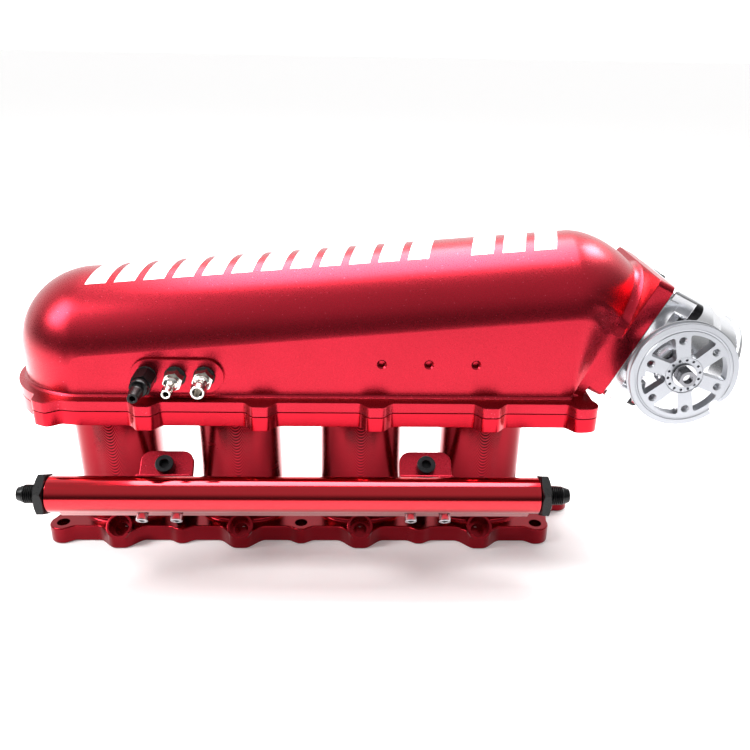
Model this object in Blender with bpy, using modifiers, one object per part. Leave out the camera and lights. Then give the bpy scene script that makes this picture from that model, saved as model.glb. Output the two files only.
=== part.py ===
"""Four-runner billet intake manifold with fuel rail and cable throttle body.

It stands on its head flange: +X runs along the row of ports to the throttle body, -Y is the
injector side, +Z points up through the runners to the plenum. The origin is the centre of the
port row on the underside of the head flange. Metres throughout.
"""
import math

import bmesh
import bpy
from mathutils import Matrix, Vector

# ---------------------------------------------------------------- driving dimensions
GAP = 0.0003                                   # clearance kept between touching pieces

PORT_PITCH = 0.094
PORT_XS = [(i - 1.5) * PORT_PITCH for i in range(4)]
PORT_Y = -0.016                                # centre of the ports on the head face
RUNNER_TOP_Y = -0.020                          # centre of the runner mouths in the plenum floor
RUNNER_HALF_X = 0.0317
RUNNER_HALF_Y_BASE = 0.022
RUNNER_HALF_Y_TOP = 0.028
RUNNER_WALL = 0.005

HEAD_FLANGE_T = 0.014
HEAD_FRONT_Y = -0.0446
HEAD_REAR_Y = 0.0195
HEAD_BOLT_XS = [(i - 2) * PORT_PITCH for i in range(5)]
HEAD_BOLT_Y = -0.0395
HEAD_REAR_BOLTS = [(-0.094, 0.010), (0.0, 0.010), (0.094, 0.010), (0.2155, 0.0092)]
HEAD_BOLT_HOLE_R = 0.005

JOINT_Z0 = 0.113                               # underside of the plenum floor flange
JOINT_Z1 = 0.1240                              # joint face
LID_Z0 = JOINT_Z1 + GAP
LID_Z1 = 0.132                                 # top of the lid flange
JOINT_HALF_Y = 0.065
JOINT_RIGHT_X = 0.214
JOINT_CORNER_R = 0.008
JOINT_BOLT_XS = [-0.107, -0.025, 0.057, 0.139, 0.206]
JOINT_END_ANGLE = math.radians(65)             # the two bolts on the round end, off -X
JOINT_ROUND_X = 0.965                          # the round end of the joint is slightly blunter
JOINT_SEAT_Z = 0.1190                          # bolt heads sit in counterbores from below
BOSS_OUT = 0.008
BOLT_R = 0.003
BOLT_HOLE_R = 0.0033

PLENUM_LEFT_X = -0.152                         # centre of the round end
PLENUM_ROUND_X = 1.02                          # the round end is slightly drawn out along X
PLENUM_R = 0.056
PLENUM_FLAT_Y = 0.0555                         # half width over the milled side flats
PLENUM_AXIS_Z = 0.155                          # height of the dome axis at the round end
PLENUM_RISE = 0.089                            # slope of the dome axis along +X
PLENUM_LOFT_X = 0.198                          # where the dome starts to turn to the throttle
PLENUM_WALL = 0.006

THROTTLE_DROP = math.radians(27)               # bore axis below the horizontal
THROTTLE_FACE = Vector((0.2445, 0.0, 0.1725))  # centre of the throttle mounting face
THROTTLE_PLATE = (0.047, 0.049, 0.013)         # half height, half width, thickness
NECK_R = 0.0437
NECK_S = -0.020                                 # where the neck starts to flare to the plate
BORE_R = 0.037
NECK_BORE_R = 0.038
THROTTLE_BOLT_AT = 0.038
HOUSING_S0 = 0.0014                            # housing foot, over a 0.8 mm gasket
BARREL_R = 0.0465
SHAFT_S = 0.031                                # shaft axis, from the mounting face
INLET_S = 0.081
SHAFT_R = 0.005
BUSH_R = 0.008

WHEEL_R = 0.0385
WHEEL_FRONT = 0.072                            # distances from the bore axis towards -Y
WHEEL_BACK = 0.0645

RAIL_TILT = math.radians(40)                   # injector axes are 50 degrees above the horizontal
RAIL_A = 0.128                                 # rail centre along the injector direction
RAIL_B = 0.028                                 # rail centre in front of the origin plane
RAIL_R = 0.0125
RAIL_X0, RAIL_X1 = -0.167, 0.1703
INJECTOR_B = 0.027
INJECTOR_MOUTH_A = 0.0465
BRACKET_XS = (-PORT_PITCH, PORT_PITCH)
BRACKET_HALF_X = 0.019

PAD_CENTRE = (-0.084, 0.149)                   # vacuum pad on the front wall, X and Z
PAD_HALF = (0.033, 0.0127)
PAD_OUT = 0.0030
FITTING_XS = (-0.1057, -0.0852, -0.0647)

SENSOR_Y = 0.0535

# ---------------------------------------------------------------- scene and helpers
for old in list(bpy.data.objects):
    bpy.data.objects.remove(old, do_unlink=True)

parts = bpy.data.collections.new("intake_manifold")
cutters = bpy.data.collections.new("cutters")
for group in (parts, cutters):
    bpy.context.scene.collection.children.link(group)


def material(name, colour, roughness, metallic):
    """A Principled material from an sRGB hex colour."""
    mat = bpy.data.materials.new(name)
    mat.use_nodes = True
    shader = mat.node_tree.nodes["Principled BSDF"]
    channels = [int(colour[i:i + 2], 16) / 255 for i in (0, 2, 4)]
    linear = [c / 12.92 if c <= 0.04045 else ((c + 0.055) / 1.055) ** 2.4 for c in channels]
    shader.inputs["Base Color"].default_value = (*linear, 1)
    shader.inputs["Roughness"].default_value = roughness
    shader.inputs["Metallic"].default_value = metallic
    return mat


RED = material("red_anodised_aluminium", "C41E2F", 0.32, 0.9)
BRIGHT_RED = material("polished_red_anodised", "B5101F", 0.15, 0.9)
BLACK = material("black_anodised_aluminium", "15161A", 0.35, 0.6)
BLACK_STEEL = material("black_oxide_steel", "101114", 0.4, 0.5)
SILVER = material("machined_aluminium", "C9CCD0", 0.25, 1.0)
NICKEL = material("nickel_plated_brass", "D8D6D0", 0.18, 1.0)
STEEL = material("stainless_steel", "B9B8B4", 0.28, 1.0)
RUBBER = material("black_rubber", "151515", 0.8, 0.0)
PAPER = material("gasket_sheet", "3A3C3E", 0.8, 0.0)
PLASTIC = material("black_plastic", "1A1A1C", 0.5, 0.0)


def add(name, bm, mat=None, place=None, parent=None):
    """Turn a bmesh into an object; with no material it is a hidden cutter or joining shape."""
    bmesh.ops.recalc_face_normals(bm, faces=bm.faces)
    mesh = bpy.data.meshes.new(name)
    bm.to_mesh(mesh)
    bm.free()
    return place_object(name, mesh, mat, place, parent)


def place_object(name, mesh, mat, place, parent):
    obj = bpy.data.objects.new(name, mesh)
    if mat:
        mesh.materials.append(mat)
        parts.objects.link(obj)
        mesh.shade_smooth()
        mesh.set_sharp_from_angle(angle=math.radians(35))
    else:
        cutters.objects.link(obj)
        obj.hide_render = True
        obj.display_type = "WIRE"
    if parent:
        obj.parent = parent
    if place:
        obj.matrix_basis = place
    return obj


def boolean(target, tool, operation="DIFFERENCE"):
    modifier = target.modifiers.new(tool.name, "BOOLEAN")
    modifier.operation = operation
    modifier.object = tool
    modifier.solver = "EXACT"


def rod(bm, start, end, radius, sides=20, end_radius=None):
    """A cylinder or cone between two points."""
    start, end = Vector(start), Vector(end)
    axis = end - start
    turn = axis.to_track_quat("Z", "Y").to_matrix().to_4x4()
    bmesh.ops.create_cone(
        bm, cap_ends=True, segments=sides, radius1=radius,
        radius2=radius if end_radius is None else end_radius, depth=axis.length,
        matrix=Matrix.Translation((start + end) / 2) @ turn)


def block(bm, low, high, place=None):
    """A box between two corners."""
    low, high = Vector(low), Vector(high)
    size = high - low
    matrix = Matrix.Translation((low + high) / 2) @ Matrix.Diagonal((*size, 1))
    bmesh.ops.create_cube(bm, size=1, matrix=(place or Matrix()) @ matrix)


def prism(bm, outline, z0, z1):
    """A flat outline pushed up from z0 to z1."""
    face = bm.faces.new([bm.verts.new((x, y, z0)) for x, y in outline])
    top = bmesh.ops.extrude_face_region(bm, geom=[face])["geom"]
    bmesh.ops.translate(bm, vec=(0, 0, z1 - z0), verts=[v for v in top if isinstance(v, bmesh.types.BMVert)])


def loft(bm, rings):
    """Skin a row of rings that all have the same number of points, and cap both ends."""
    rows = [[bm.verts.new(point) for point in ring] for ring in rings]
    count = len(rows[0])
    for row, above in zip(rows, rows[1:]):
        for i in range(count):
            j = (i + 1) % count
            bm.faces.new((row[i], row[j], above[j], above[i]))
    bm.faces.new(rows[0])
    bm.faces.new(rows[-1])


def band(bm, outer, inner, z0, z1):
    """A closed strip of rectangular section between two outlines of equal length."""
    rows = [[bm.verts.new((x, y, z)) for x, y in line]
            for line, z in ((outer, z0), (outer, z1), (inner, z1), (inner, z0))]
    count = len(outer)
    for k in range(4):
        row, above = rows[k], rows[(k + 1) % 4]
        for i in range(count):
            j = (i + 1) % count
            bm.faces.new((row[i], row[j], above[j], above[i]))


def turned(name, profile, mat=None, place=None, parent=None, steps=24):
    """A turned shape: a closed profile of (radius, height), outer side first, top to bottom."""
    mesh = bpy.data.meshes.new(name)
    ends = range(len(profile))
    mesh.from_pydata([(r, 0, z) for r, z in profile], [(i, (i + 1) % len(profile)) for i in ends], [])
    obj = place_object(name, mesh, mat, place, parent)
    screw = obj.modifiers.new("turn", "SCREW")
    screw.axis = "Z"
    screw.steps = steps
    screw.render_steps = steps
    screw.use_merge_vertices = True
    screw.merge_threshold = 0.00001
    return obj


def tube_profile(outer, inner, low, high):
    return [(outer, high), (outer, low), (inner, low), (inner, high)]


def arc(cx, cy, radius, start, end, count):
    """Points on an arc, angles in degrees."""
    angles = [math.radians(start + (end - start) * i / count) for i in range(count + 1)]
    return [(cx + radius * math.cos(a), cy + radius * math.sin(a)) for a in angles]


def rounded_rectangle(half_x, half_y, radius, count=4):
    points = []
    for k, (sx, sy) in enumerate(((1, 1), (-1, 1), (-1, -1), (1, -1))):
        points += arc(sx * (half_x - radius), sy * (half_y - radius), radius, 90 * k, 90 * k + 90, count)
    return points


def hexagon(across_flats, turn=0):
    return arc(0, 0, across_flats / math.sqrt(3), turn, turn + 300, 5)


tilt = Matrix.Rotation(RAIL_TILT, 4, "X")      # local Z is the injector direction, local Y is -b
throttle = Matrix.Translation(THROTTLE_FACE) @ Matrix.Rotation(math.pi / 2 + THROTTLE_DROP, 4, "Y")
bore_axis = throttle.to_3x3() @ Vector((0, 0, 1))
shaft_centre = THROTTLE_FACE + SHAFT_S * bore_axis


def rail_point(x, a, b):
    """World point at distance a along the injector direction and b towards the front."""
    return tilt @ Vector((x, -b, a))


# ---------------------------------------------------------------- plenum joint outline
def joint_outline(grow=0.0, bosses=False):
    """Outline of the plenum joint: a round left end, straight sides and a square right end."""
    half = JOINT_HALF_Y + grow
    corner = max(JOINT_CORNER_R + grow, 0.003)
    right = JOINT_RIGHT_X + grow
    samples = [-0.013, -0.0095, -0.0072, -0.004, 0.004, 0.0072, 0.0095, 0.013]
    front = {PLENUM_LEFT_X, right - corner}
    if bosses:
        front |= {x + d for x in JOINT_BOLT_XS for d in samples if x + d < right - corner}
    points = [(x, -half, 0.0, -1.0) for x in sorted(front)]
    for x, y in arc(0, 0, 1, -90, 0, 4)[1:]:
        points.append((right - corner + corner * x, -half + corner + corner * y, x, y))
    points += [(x, -y, nx, -ny) for x, y, nx, ny in reversed(points)]
    angles = {math.pi * (0.5 + i / 12) for i in range(1, 12)}
    if bosses:
        steps = [d / JOINT_HALF_Y for d in samples]
        for sign in (-1, 1):
            middle = math.pi + sign * JOINT_END_ANGLE
            angles = {a for a in angles if abs(a - middle) > steps[-1]} | {middle + d for d in steps}
    points += [(PLENUM_LEFT_X + half * JOINT_ROUND_X * math.cos(a), half * math.sin(a), math.cos(a), math.sin(a))
               for a in sorted(angles)]
    centres = joint_bolts() if bosses else []
    outline = []
    for x, y, nx, ny in points:
        out = max([bump(math.hypot(x - cx, y - cy), 0.004, 0.013) for cx, cy in centres], default=0)
        outline.append((x + nx * out * BOSS_OUT, y + ny * out * BOSS_OUT))
    return outline


def joint_bolts():
    """Bolt centres, which lie on the plain outline."""
    round_end = [(PLENUM_LEFT_X - JOINT_HALF_Y * JOINT_ROUND_X * math.cos(JOINT_END_ANGLE),
                  side * JOINT_HALF_Y * math.sin(JOINT_END_ANGLE)) for side in (-1, 1)]
    return [round_end[0]] + [(x, -JOINT_HALF_Y) for x in JOINT_BOLT_XS] \
        + [(x, JOINT_HALF_Y) for x in reversed(JOINT_BOLT_XS)] + [round_end[1]]


def bump(distance, flat, reach):
    """A smooth bump: 1 inside flat, falling to 0 at reach."""
    if distance <= flat:
        return 1.0
    if distance >= reach:
        return 0.0
    return 0.5 + 0.5 * math.cos(math.pi * (distance - flat) / (reach - flat))


# ---------------------------------------------------------------- runner base
def head_outline():
    """Wavy head flange: a bulge at each injector, a smaller one at each bolt, ears at the ends."""
    ear_y = HEAD_FRONT_Y + 0.0061
    left = arc(HEAD_BOLT_XS[0], ear_y, 0.0105, 145, 270, 8)
    front = []
    steps = 68
    span = HEAD_BOLT_XS[-1] - HEAD_BOLT_XS[0]
    for i in range(1, steps):
        x = HEAD_BOLT_XS[0] + span * i / steps
        at_bolt = max(bump(abs(x - c), 0.001, 0.011) for c in HEAD_BOLT_XS)
        at_injector = max(bump(abs(x - c), 0.003, 0.019) for c in PORT_XS)
        front.append((x, HEAD_FRONT_Y - 0.0044 * at_bolt - 0.0106 * at_injector))
    right = arc(HEAD_BOLT_XS[-1], ear_y, 0.0105, 270, 375, 6)
    right += [(0.1995, -0.028), (0.2025, -0.014), (0.2060, -0.005)]
    rear_ear = arc(*HEAD_REAR_BOLTS[-1], 0.0103, -105, 90, 9)
    rear = arc(-0.168, HEAD_REAR_Y - 0.012, 0.012, 90, 180, 4)
    return left + front + right + rear_ear + rear


def oval(cx, cy, z, half_x, half_y, count=20, power=2.6):
    ring = []
    for i in range(count):
        angle = 2 * math.pi * i / count
        c, s = math.cos(angle), math.sin(angle)
        ring.append((cx + half_x * math.copysign(abs(c) ** (2 / power), c),
                     cy + half_y * math.copysign(abs(s) ** (2 / power), s), z))
    return ring


def runners(wall, low, high, mouth):
    """Four tapered oval runners; wall is taken off all round, mouth widens the top."""
    bm = bmesh.new()
    for x in PORT_XS:
        rings = []
        for z in (low, JOINT_Z0, high) if mouth else (low, high):
            t = z / JOINT_Z1
            grow = mouth * max(0.0, (z - JOINT_Z0) / (JOINT_Z1 - JOINT_Z0))
            half_y = RUNNER_HALF_Y_BASE + (RUNNER_HALF_Y_TOP - RUNNER_HALF_Y_BASE) * t
            y = PORT_Y + (RUNNER_TOP_Y - PORT_Y) * t
            rings.append(oval(x, y, z, RUNNER_HALF_X - wall + grow, half_y - wall + grow))
        loft(bm, rings)
    return bm


def build_runner_base():
    bm = bmesh.new()
    prism(bm, head_outline(), -0.002, HEAD_FLANGE_T)
    base = add("runner_base", bm, RED)

    boolean(base, add("runner_bodies", runners(0.0, 0.001, JOINT_Z0 + 0.004, 0.0)), "UNION")

    bm = bmesh.new()
    prism(bm, joint_outline(bosses=True), JOINT_Z0, JOINT_Z1)
    boolean(base, add("joint_flange", bm), "UNION")

    bm = bmesh.new()
    for x in PORT_XS:
        rod(bm, rail_point(x, 0.020, INJECTOR_B), rail_point(x, INJECTOR_MOUTH_A, INJECTOR_B), 0.0103, 18)
    boolean(base, add("injector_bosses", bm), "UNION")

    bm = bmesh.new()
    for x in BRACKET_XS:
        rod(bm, rail_point(x, 0.008, 0.0018), rail_point(x, 0.1037, 0.0018), 0.0085, 16)
    boolean(base, add("rail_posts", bm), "UNION")

    boolean(base, add("runner_bores", runners(RUNNER_WALL, -0.004, JOINT_Z1 + 0.004, 0.003)))

    bm = bmesh.new()
    block(bm, (-0.25, -0.12, -0.05), (0.25, 0.08, 0.0))
    boolean(base, add("below_head_face", bm))

    bm = bmesh.new()
    block(bm, (-0.17, -0.08, -0.01), (0.17, HEAD_FRONT_Y - 0.0107, 0.016))
    boolean(base, add("front_trim", bm))

    bm = bmesh.new()
    for x in PORT_XS:
        rod(bm, rail_point(x, 0.010, INJECTOR_B), rail_point(x, 0.060, INJECTOR_B), 0.0053, 12)
    boolean(base, add("injector_bores", bm))

    bm = bmesh.new()
    for x in PORT_XS:
        rod(bm, rail_point(x, INJECTOR_MOUTH_A - 0.010, INJECTOR_B), rail_point(x, 0.065, INJECTOR_B), 0.0082, 16)
    boolean(base, add("injector_seats", bm))

    bm = bmesh.new()
    for x, y in [(x, HEAD_BOLT_Y) for x in HEAD_BOLT_XS] + HEAD_REAR_BOLTS:
        rod(bm, (x, y, -0.005), (x, y, HEAD_FLANGE_T + 0.003), HEAD_BOLT_HOLE_R, 10)
    for x, y in joint_bolts():
        rod(bm, (x, y, JOINT_Z0 - 0.005), (x, y, JOINT_Z1 + 0.005), BOLT_HOLE_R, 8)
    for x in BRACKET_XS:
        rod(bm, rail_point(x, 0.084, 0.0018), rail_point(x, 0.110, 0.0018), 0.0043, 10)
    boolean(base, add("base_bolt_holes", bm))

    bm = bmesh.new()
    for x, y in joint_bolts():
        rod(bm, (x, y, JOINT_Z0 - 0.004), (x, y, JOINT_SEAT_Z), 0.0053, 10)
    boolean(base, add("joint_counterbores", bm))

    bm = bmesh.new()
    band(bm, joint_outline(-0.0072), joint_outline(-0.0108), JOINT_Z1 - 0.0024, JOINT_Z1 + 0.002)
    boolean(base, add("seal_groove", bm))


def build_seal_and_joint_bolts():
    bm = bmesh.new()
    band(bm, joint_outline(-0.0075), joint_outline(-0.0105), JOINT_Z1 - 0.0021, JOINT_Z1)
    add("plenum_seal", bm, RUBBER)
    for number, (x, y) in enumerate(joint_bolts(), 1):
        place = Matrix.Translation((x, y, JOINT_SEAT_Z - GAP))
        cap_screw(f"joint_bolt_{number:02d}", BOLT_R, 0.0047, 0.0055, 0.0108, STEEL, place, sides=8)


def cap_screw(name, radius, head_radius, head, length, mat, place, sides=12, parent=None):
    """Socket cap screw along local Z: the head reaches down from 0, the shank up; hex socket."""
    bm = bmesh.new()
    rod(bm, (0, 0, -head), (0, 0, 0), head_radius, sides)
    screw = add(name, bm, mat, place, parent)
    bm = bmesh.new()
    rod(bm, (0, 0, -head * 0.5), (0, 0, length), radius, sides)
    shank = add(f"{name}_shank", bm, None, place, parent)
    boolean(screw, shank, "UNION")
    bm = bmesh.new()
    prism(bm, hexagon(head_radius * 1.1), -head - 0.001, -head * 0.45)
    boolean(screw, add(f"{name}_socket", bm, None, place, parent))
    return screw


# ---------------------------------------------------------------- plenum lid
def arch(x, half, axis_z, low, count=18):
    """Section across the plenum: upright sides and a half-round top, flattened on the sides."""
    limit = PLENUM_FLAT_Y if half > PLENUM_FLAT_Y else half
    ring = [(x, -min(half, limit), low)]
    for i in range(count + 1):
        angle = math.pi * i / count
        y = -half * math.cos(angle)
        ring.append((x, max(-limit, min(limit, y)), axis_z + half * math.sin(angle)))
    ring.append((x, min(half, limit), low))
    ring += [(x, limit * (1 - 2 * k / 4), low) for k in range(1, 4)]
    return [Vector(p) for p in ring]


def neck_ring(radius, s, foot=0.0, count=18):
    """Section at the throttle end, matched point for point to an arch.

    With no foot it is a plain circle; with a foot it is a round top whose sides flare out
    to the foot half width and run straight down to the plenum floor.
    """
    if foot:
        flare = [(-foot, -0.002), (-foot * 0.35 - radius * 0.62, 0.005), (-radius - 0.0008, 0.0105)]
        first = math.degrees(math.asin(0.0155 / radius))
        top = arc(0, 0, radius, 180 - first, first, count - 6)
        upper = [(-foot, -0.055)] + flare + top + [(-y, u) for y, u in reversed(flare)] + [(foot, -0.055)]
        lower = [(foot * (1 - 2 * k / 4), -0.055) for k in range(1, 4)]
    else:
        sweep = arc(0, 0, radius, 202.5, -22.5, count + 2)
        upper, lower = sweep, arc(0, 0, radius, -22.5, -157.5, 4)[1:-1]
    return [throttle @ Vector((-u, y, s)) for y, u in upper + lower]


def plenum_solid(shrink, low, ends):
    """The lofted body of the plenum, smaller by shrink all round; ends are the last sections."""
    radius = PLENUM_R - shrink
    rings = []
    for k in range(6):
        swing = math.radians(82 - 16.4 * k)
        rings.append(arch(PLENUM_LEFT_X - radius * PLENUM_ROUND_X * math.sin(swing),
                          radius * math.cos(swing), PLENUM_AXIS_Z, low))
    for k in range(1, 3):
        x = PLENUM_LEFT_X + (PLENUM_LOFT_X - PLENUM_LEFT_X) * k / 2
        rings.append(arch(x, radius, PLENUM_AXIS_Z + PLENUM_RISE * (x - PLENUM_LEFT_X), low))
    start, end = rings[-1], ends[0]
    for k in range(1, 7):
        t = k / 6
        ring = []
        for p, q in zip(start, end):
            reach = (q - p).length * 0.92
            lead = Vector((1, 0, PLENUM_RISE if p.z > low else 0)) * reach
            side = q - THROTTLE_FACE
            side -= bore_axis * side.dot(bore_axis)
            inward = -side.normalized() if abs(q.y) < 0.047 else Vector()
            trail = (bore_axis * 0.95 + inward * 0.31) * reach
            if q.z < 0.150 or (p.z <= low + 0.001 and q.z < p.z):
                trail = (q - p)
            ring.append((2 * t**3 - 3 * t**2 + 1) * p + (t**3 - 2 * t**2 + t) * lead
                        + (3 * t**2 - 2 * t**3) * q + (t**3 - t**2) * trail)
        rings.append(ring)
    bm = bmesh.new()
    loft(bm, rings + ends[1:])
    bmesh.ops.triangulate(bm, faces=[face for face in bm.faces if len(face.verts) == 4])
    return bm


def build_lid():
    flare = [(0.0, NECK_S), (0.0008, NECK_S + 0.0045), (0.0028, -0.0128)]
    ends = [neck_ring(NECK_R + out, s, PLENUM_FLAT_Y) for out, s in flare]
    lid = add("plenum_lid", plenum_solid(0.0, LID_Z1 - 0.002, ends), RED)

    bm = bmesh.new()
    prism(bm, joint_outline(bosses=True), LID_Z0, LID_Z1)
    boolean(lid, add("lid_flange", bm), "UNION")

    half_height, half_width, thick = THROTTLE_PLATE
    bm = bmesh.new()
    prism(bm, rounded_rectangle(half_height, half_width, 0.0045, 3), -thick, 0.0)
    boolean(lid, add("throttle_plate", bm, None, throttle), "UNION")

    bm = bmesh.new()
    for sx in (-1, 1):
        for sy in (-1, 1):
            at = (sx * THROTTLE_BOLT_AT, sy * THROTTLE_BOLT_AT)
            rod(bm, (*at, -0.0115), (*at, 0.002), 0.0043, 10)
    boolean(lid, add("throttle_tappings", bm, None, throttle))

    pad = Matrix.Translation((PAD_CENTRE[0], -PLENUM_FLAT_Y, PAD_CENTRE[1])) @ Matrix.Rotation(math.pi / 2, 4, "X")
    bm = bmesh.new()
    prism(bm, rounded_rectangle(*PAD_HALF, PAD_HALF[1] - 0.0002, 4), -0.004, PAD_OUT)
    boolean(lid, add("vacuum_pad", bm, None, pad), "UNION")

    hollow = plenum_solid(PLENUM_WALL, LID_Z0 - 0.003, [neck_ring(NECK_BORE_R, -0.030)])
    boolean(lid, add("plenum_hollow", hollow))

    bm = bmesh.new()
    rod(bm, (0, 0, -0.046), (0, 0, 0.004), NECK_BORE_R - 0.0004, 28)
    boolean(lid, add("throttle_bore", bm, None, throttle))

    bm = bmesh.new()
    for x, y in joint_bolts():
        rod(bm, (x, y, LID_Z0 - 0.002), (x, y, LID_Z0 + 0.0058), BOLT_HOLE_R, 8)
    for x in FITTING_XS:
        rod(bm, (x, -0.062, PAD_CENTRE[1]), (x, -0.046, PAD_CENTRE[1]), 0.0053, 12)
    for x in (0.061, 0.0947, 0.1285):
        rod(bm, (x, -0.060, 0.158), (x, -PLENUM_FLAT_Y + 0.0042, 0.158), 0.0027, 10)
    boolean(lid, add("lid_tappings", bm))


# ---------------------------------------------------------------- vacuum fittings
def build_vacuum_fittings():
    """Three screwed hose fittings on the pad, pointing straight out to the front."""
    face_y = -PLENUM_FLAT_Y - PAD_OUT
    specs = (
        ("vacuum_check_fitting", BLACK, 0.0080, 0.038,
         [(0.0062, 0.0185), (0.0062, 0.022), (0.0042, 0.023), (0.0048, 0.0312), (0.0036, 0.038)],
         0.0018),
        ("vacuum_nipple_small", NICKEL, 0.0070, 0.031,
         [(0.0052, 0.0115), (0.0052, 0.0145), (0.0032, 0.0155), (0.0038, 0.0262), (0.0030, 0.031)],
         0.0018),
        ("vacuum_nipple_large", NICKEL, 0.0074, 0.028,
         [(0.0058, 0.0100), (0.0058, 0.0125), (0.0046, 0.0135), (0.0054, 0.0232), (0.0047, 0.028)],
         0.0032),
    )
    for number, (x, (name, mat, hex_r, length, steps, bore)) in enumerate(zip(FITTING_XS, specs), 1):
        place = Matrix.Translation((x, face_y, PAD_CENTRE[1])) @ Matrix.Rotation(math.pi / 2, 4, "X")
        turned(f"vacuum_washer_{number}", tube_profile(0.0078, 0.0054, GAP, 0.0015), RUBBER, place, steps=12)
        hex_top = steps[0][1] - 0.0005
        profile = [(bore, length)] + [(r, z) for r, z in reversed(steps)]
        profile += [(0.0050, hex_top), (0.0050, -0.0080), (bore, -0.0080)]
        fitting = turned(name, profile, mat, place, steps=12)
        bm = bmesh.new()
        prism(bm, hexagon(2 * hex_r * 0.88), 0.0018, hex_top)
        hex_body = add(f"{name}_hex", bm, None, place)
        bm = bmesh.new()
        rod(bm, (0, 0, -0.01), (0, 0, 0.04), 0.0047, 16)
        boolean(hex_body, add(f"{name}_hex_core", bm, None, place))
        boolean(fitting, hex_body, "UNION")


# ---------------------------------------------------------------- fuel rail
def build_rail():
    bm = bmesh.new()
    rod(bm, rail_point(RAIL_X0, RAIL_A, RAIL_B), rail_point(RAIL_X1, RAIL_A, RAIL_B), RAIL_R, 28)
    rail = add("fuel_rail", bm, BRIGHT_RED)
    bm = bmesh.new()
    block(bm, (RAIL_X0 + 0.003, -0.0373, 0.1075), (RAIL_X1 - 0.004, -0.0187, RAIL_A), tilt)
    boolean(rail, add("rail_bar", bm), "UNION")
    bm = bmesh.new()
    rod(bm, rail_point(-0.2, RAIL_A, RAIL_B), rail_point(0.2, RAIL_A, RAIL_B), 0.0075, 14)
    boolean(rail, add("rail_bore", bm))
    bm = bmesh.new()
    for x0, x1 in ((RAIL_X0 - 0.004, RAIL_X0 + 0.003), (RAIL_X1 - 0.003, RAIL_X1 + 0.004)):
        rod(bm, rail_point(x0, RAIL_A, RAIL_B), rail_point(x1, RAIL_A, RAIL_B), 0.0105, 16)
    boolean(rail, add("rail_seal_seats", bm))
    bm = bmesh.new()
    for x in PORT_XS:
        rod(bm, rail_point(x, 0.100, INJECTOR_B), rail_point(x, 0.1175, INJECTOR_B), 0.0070, 14)
    boolean(rail, add("injector_cups", bm))
    bm = bmesh.new()
    for x in PORT_XS:
        rod(bm, rail_point(x, 0.115, INJECTOR_B), rail_point(x, RAIL_A, INJECTOR_B), 0.0030, 8)
    boolean(rail, add("feed_drillings", bm))
    bm = bmesh.new()
    for x in screw_xs():
        rod(bm, rail_point(x, 0.1125, 0.010), rail_point(x, 0.1125, 0.045), 0.0028, 8)
    boolean(rail, add("rail_screw_holes", bm))

    for side, x, sign in (("left", RAIL_X0, -1), ("right", RAIL_X1, 1)):
        spin = Matrix.Rotation(sign * math.pi / 2, 4, "Y")
        place = Matrix.Translation(rail_point(x, RAIL_A, RAIL_B)) @ spin
        turned(f"rail_seal_{side}", tube_profile(0.0102, 0.0078, -0.0026, -0.0004), RUBBER, place, steps=14)
        profile = [(0.0040, 0.0215), (0.0048, 0.0215), (0.0066, 0.0178), (0.0066, 0.0060), (0.0072, 0.0050),
                   (0.0072, -0.0120), (0.0040, -0.0120)]
        fitting = turned(f"rail_fitting_{side}", profile, BLACK, place, steps=16)
        bm = bmesh.new()
        prism(bm, hexagon(0.027, 22 * sign), GAP, 0.0068)
        hex_body = add(f"rail_fitting_{side}_hex", bm, None, place)
        bm = bmesh.new()
        rod(bm, (0, 0, -0.01), (0, 0, 0.02), 0.0060, 12)
        boolean(hex_body, add(f"rail_fitting_{side}_core", bm, None, place))
        boolean(fitting, hex_body, "UNION")

    for side, x in zip(("left", "right"), BRACKET_XS):
        bm = bmesh.new()
        foot = [(x - BRACKET_HALF_X, -0.0184), (x + BRACKET_HALF_X, -0.0184)]
        foot += arc(x + BRACKET_HALF_X - 0.008, 0.003, 0.008, 0, 90, 4)
        foot += arc(x - BRACKET_HALF_X + 0.008, 0.003, 0.008, 90, 180, 4)
        prism(bm, foot, 0.1040, 0.1100)
        bracket = add(f"rail_bracket_{side}", bm, RED, tilt)
        bm = bmesh.new()
        block(bm, (x - BRACKET_HALF_X + 0.0001, -0.0183, 0.1050), (x + BRACKET_HALF_X - 0.0001, -0.0100, 0.1185), tilt)
        boolean(bracket, add(f"bracket_upright_{side}", bm), "UNION")
        bm = bmesh.new()
        rod(bm, rail_point(x, 0.1000, 0.0018), rail_point(x, 0.1150, 0.0018), 0.0043, 12)
        for hole_x in (x - 0.012, x + 0.012):
            rod(bm, rail_point(hole_x, 0.1125, 0.005), rail_point(hole_x, 0.1125, 0.022), 0.0028, 8)
        boolean(bracket, add(f"bracket_holes_{side}", bm))
        place = tilt @ Matrix.Translation((x, -0.0018, 0.1103)) @ Matrix.Rotation(math.pi, 4, "X")
        cap_screw(f"bracket_bolt_{side}", 0.0040, 0.0067, 0.0080, 0.0240, BLACK_STEEL, place)
    for number, x in enumerate(screw_xs(), 1):
        place = tilt @ Matrix.Translation((x, -0.0376, 0.1125)) @ Matrix.Rotation(-math.pi / 2, 4, "X")
        cap_screw(f"rail_screw_{number}", 0.0025, 0.0042, 0.0050, 0.0265, STEEL, place, sides=10)


def screw_xs():
    return [x + d for x in BRACKET_XS for d in (-0.012, 0.012)]


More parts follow.
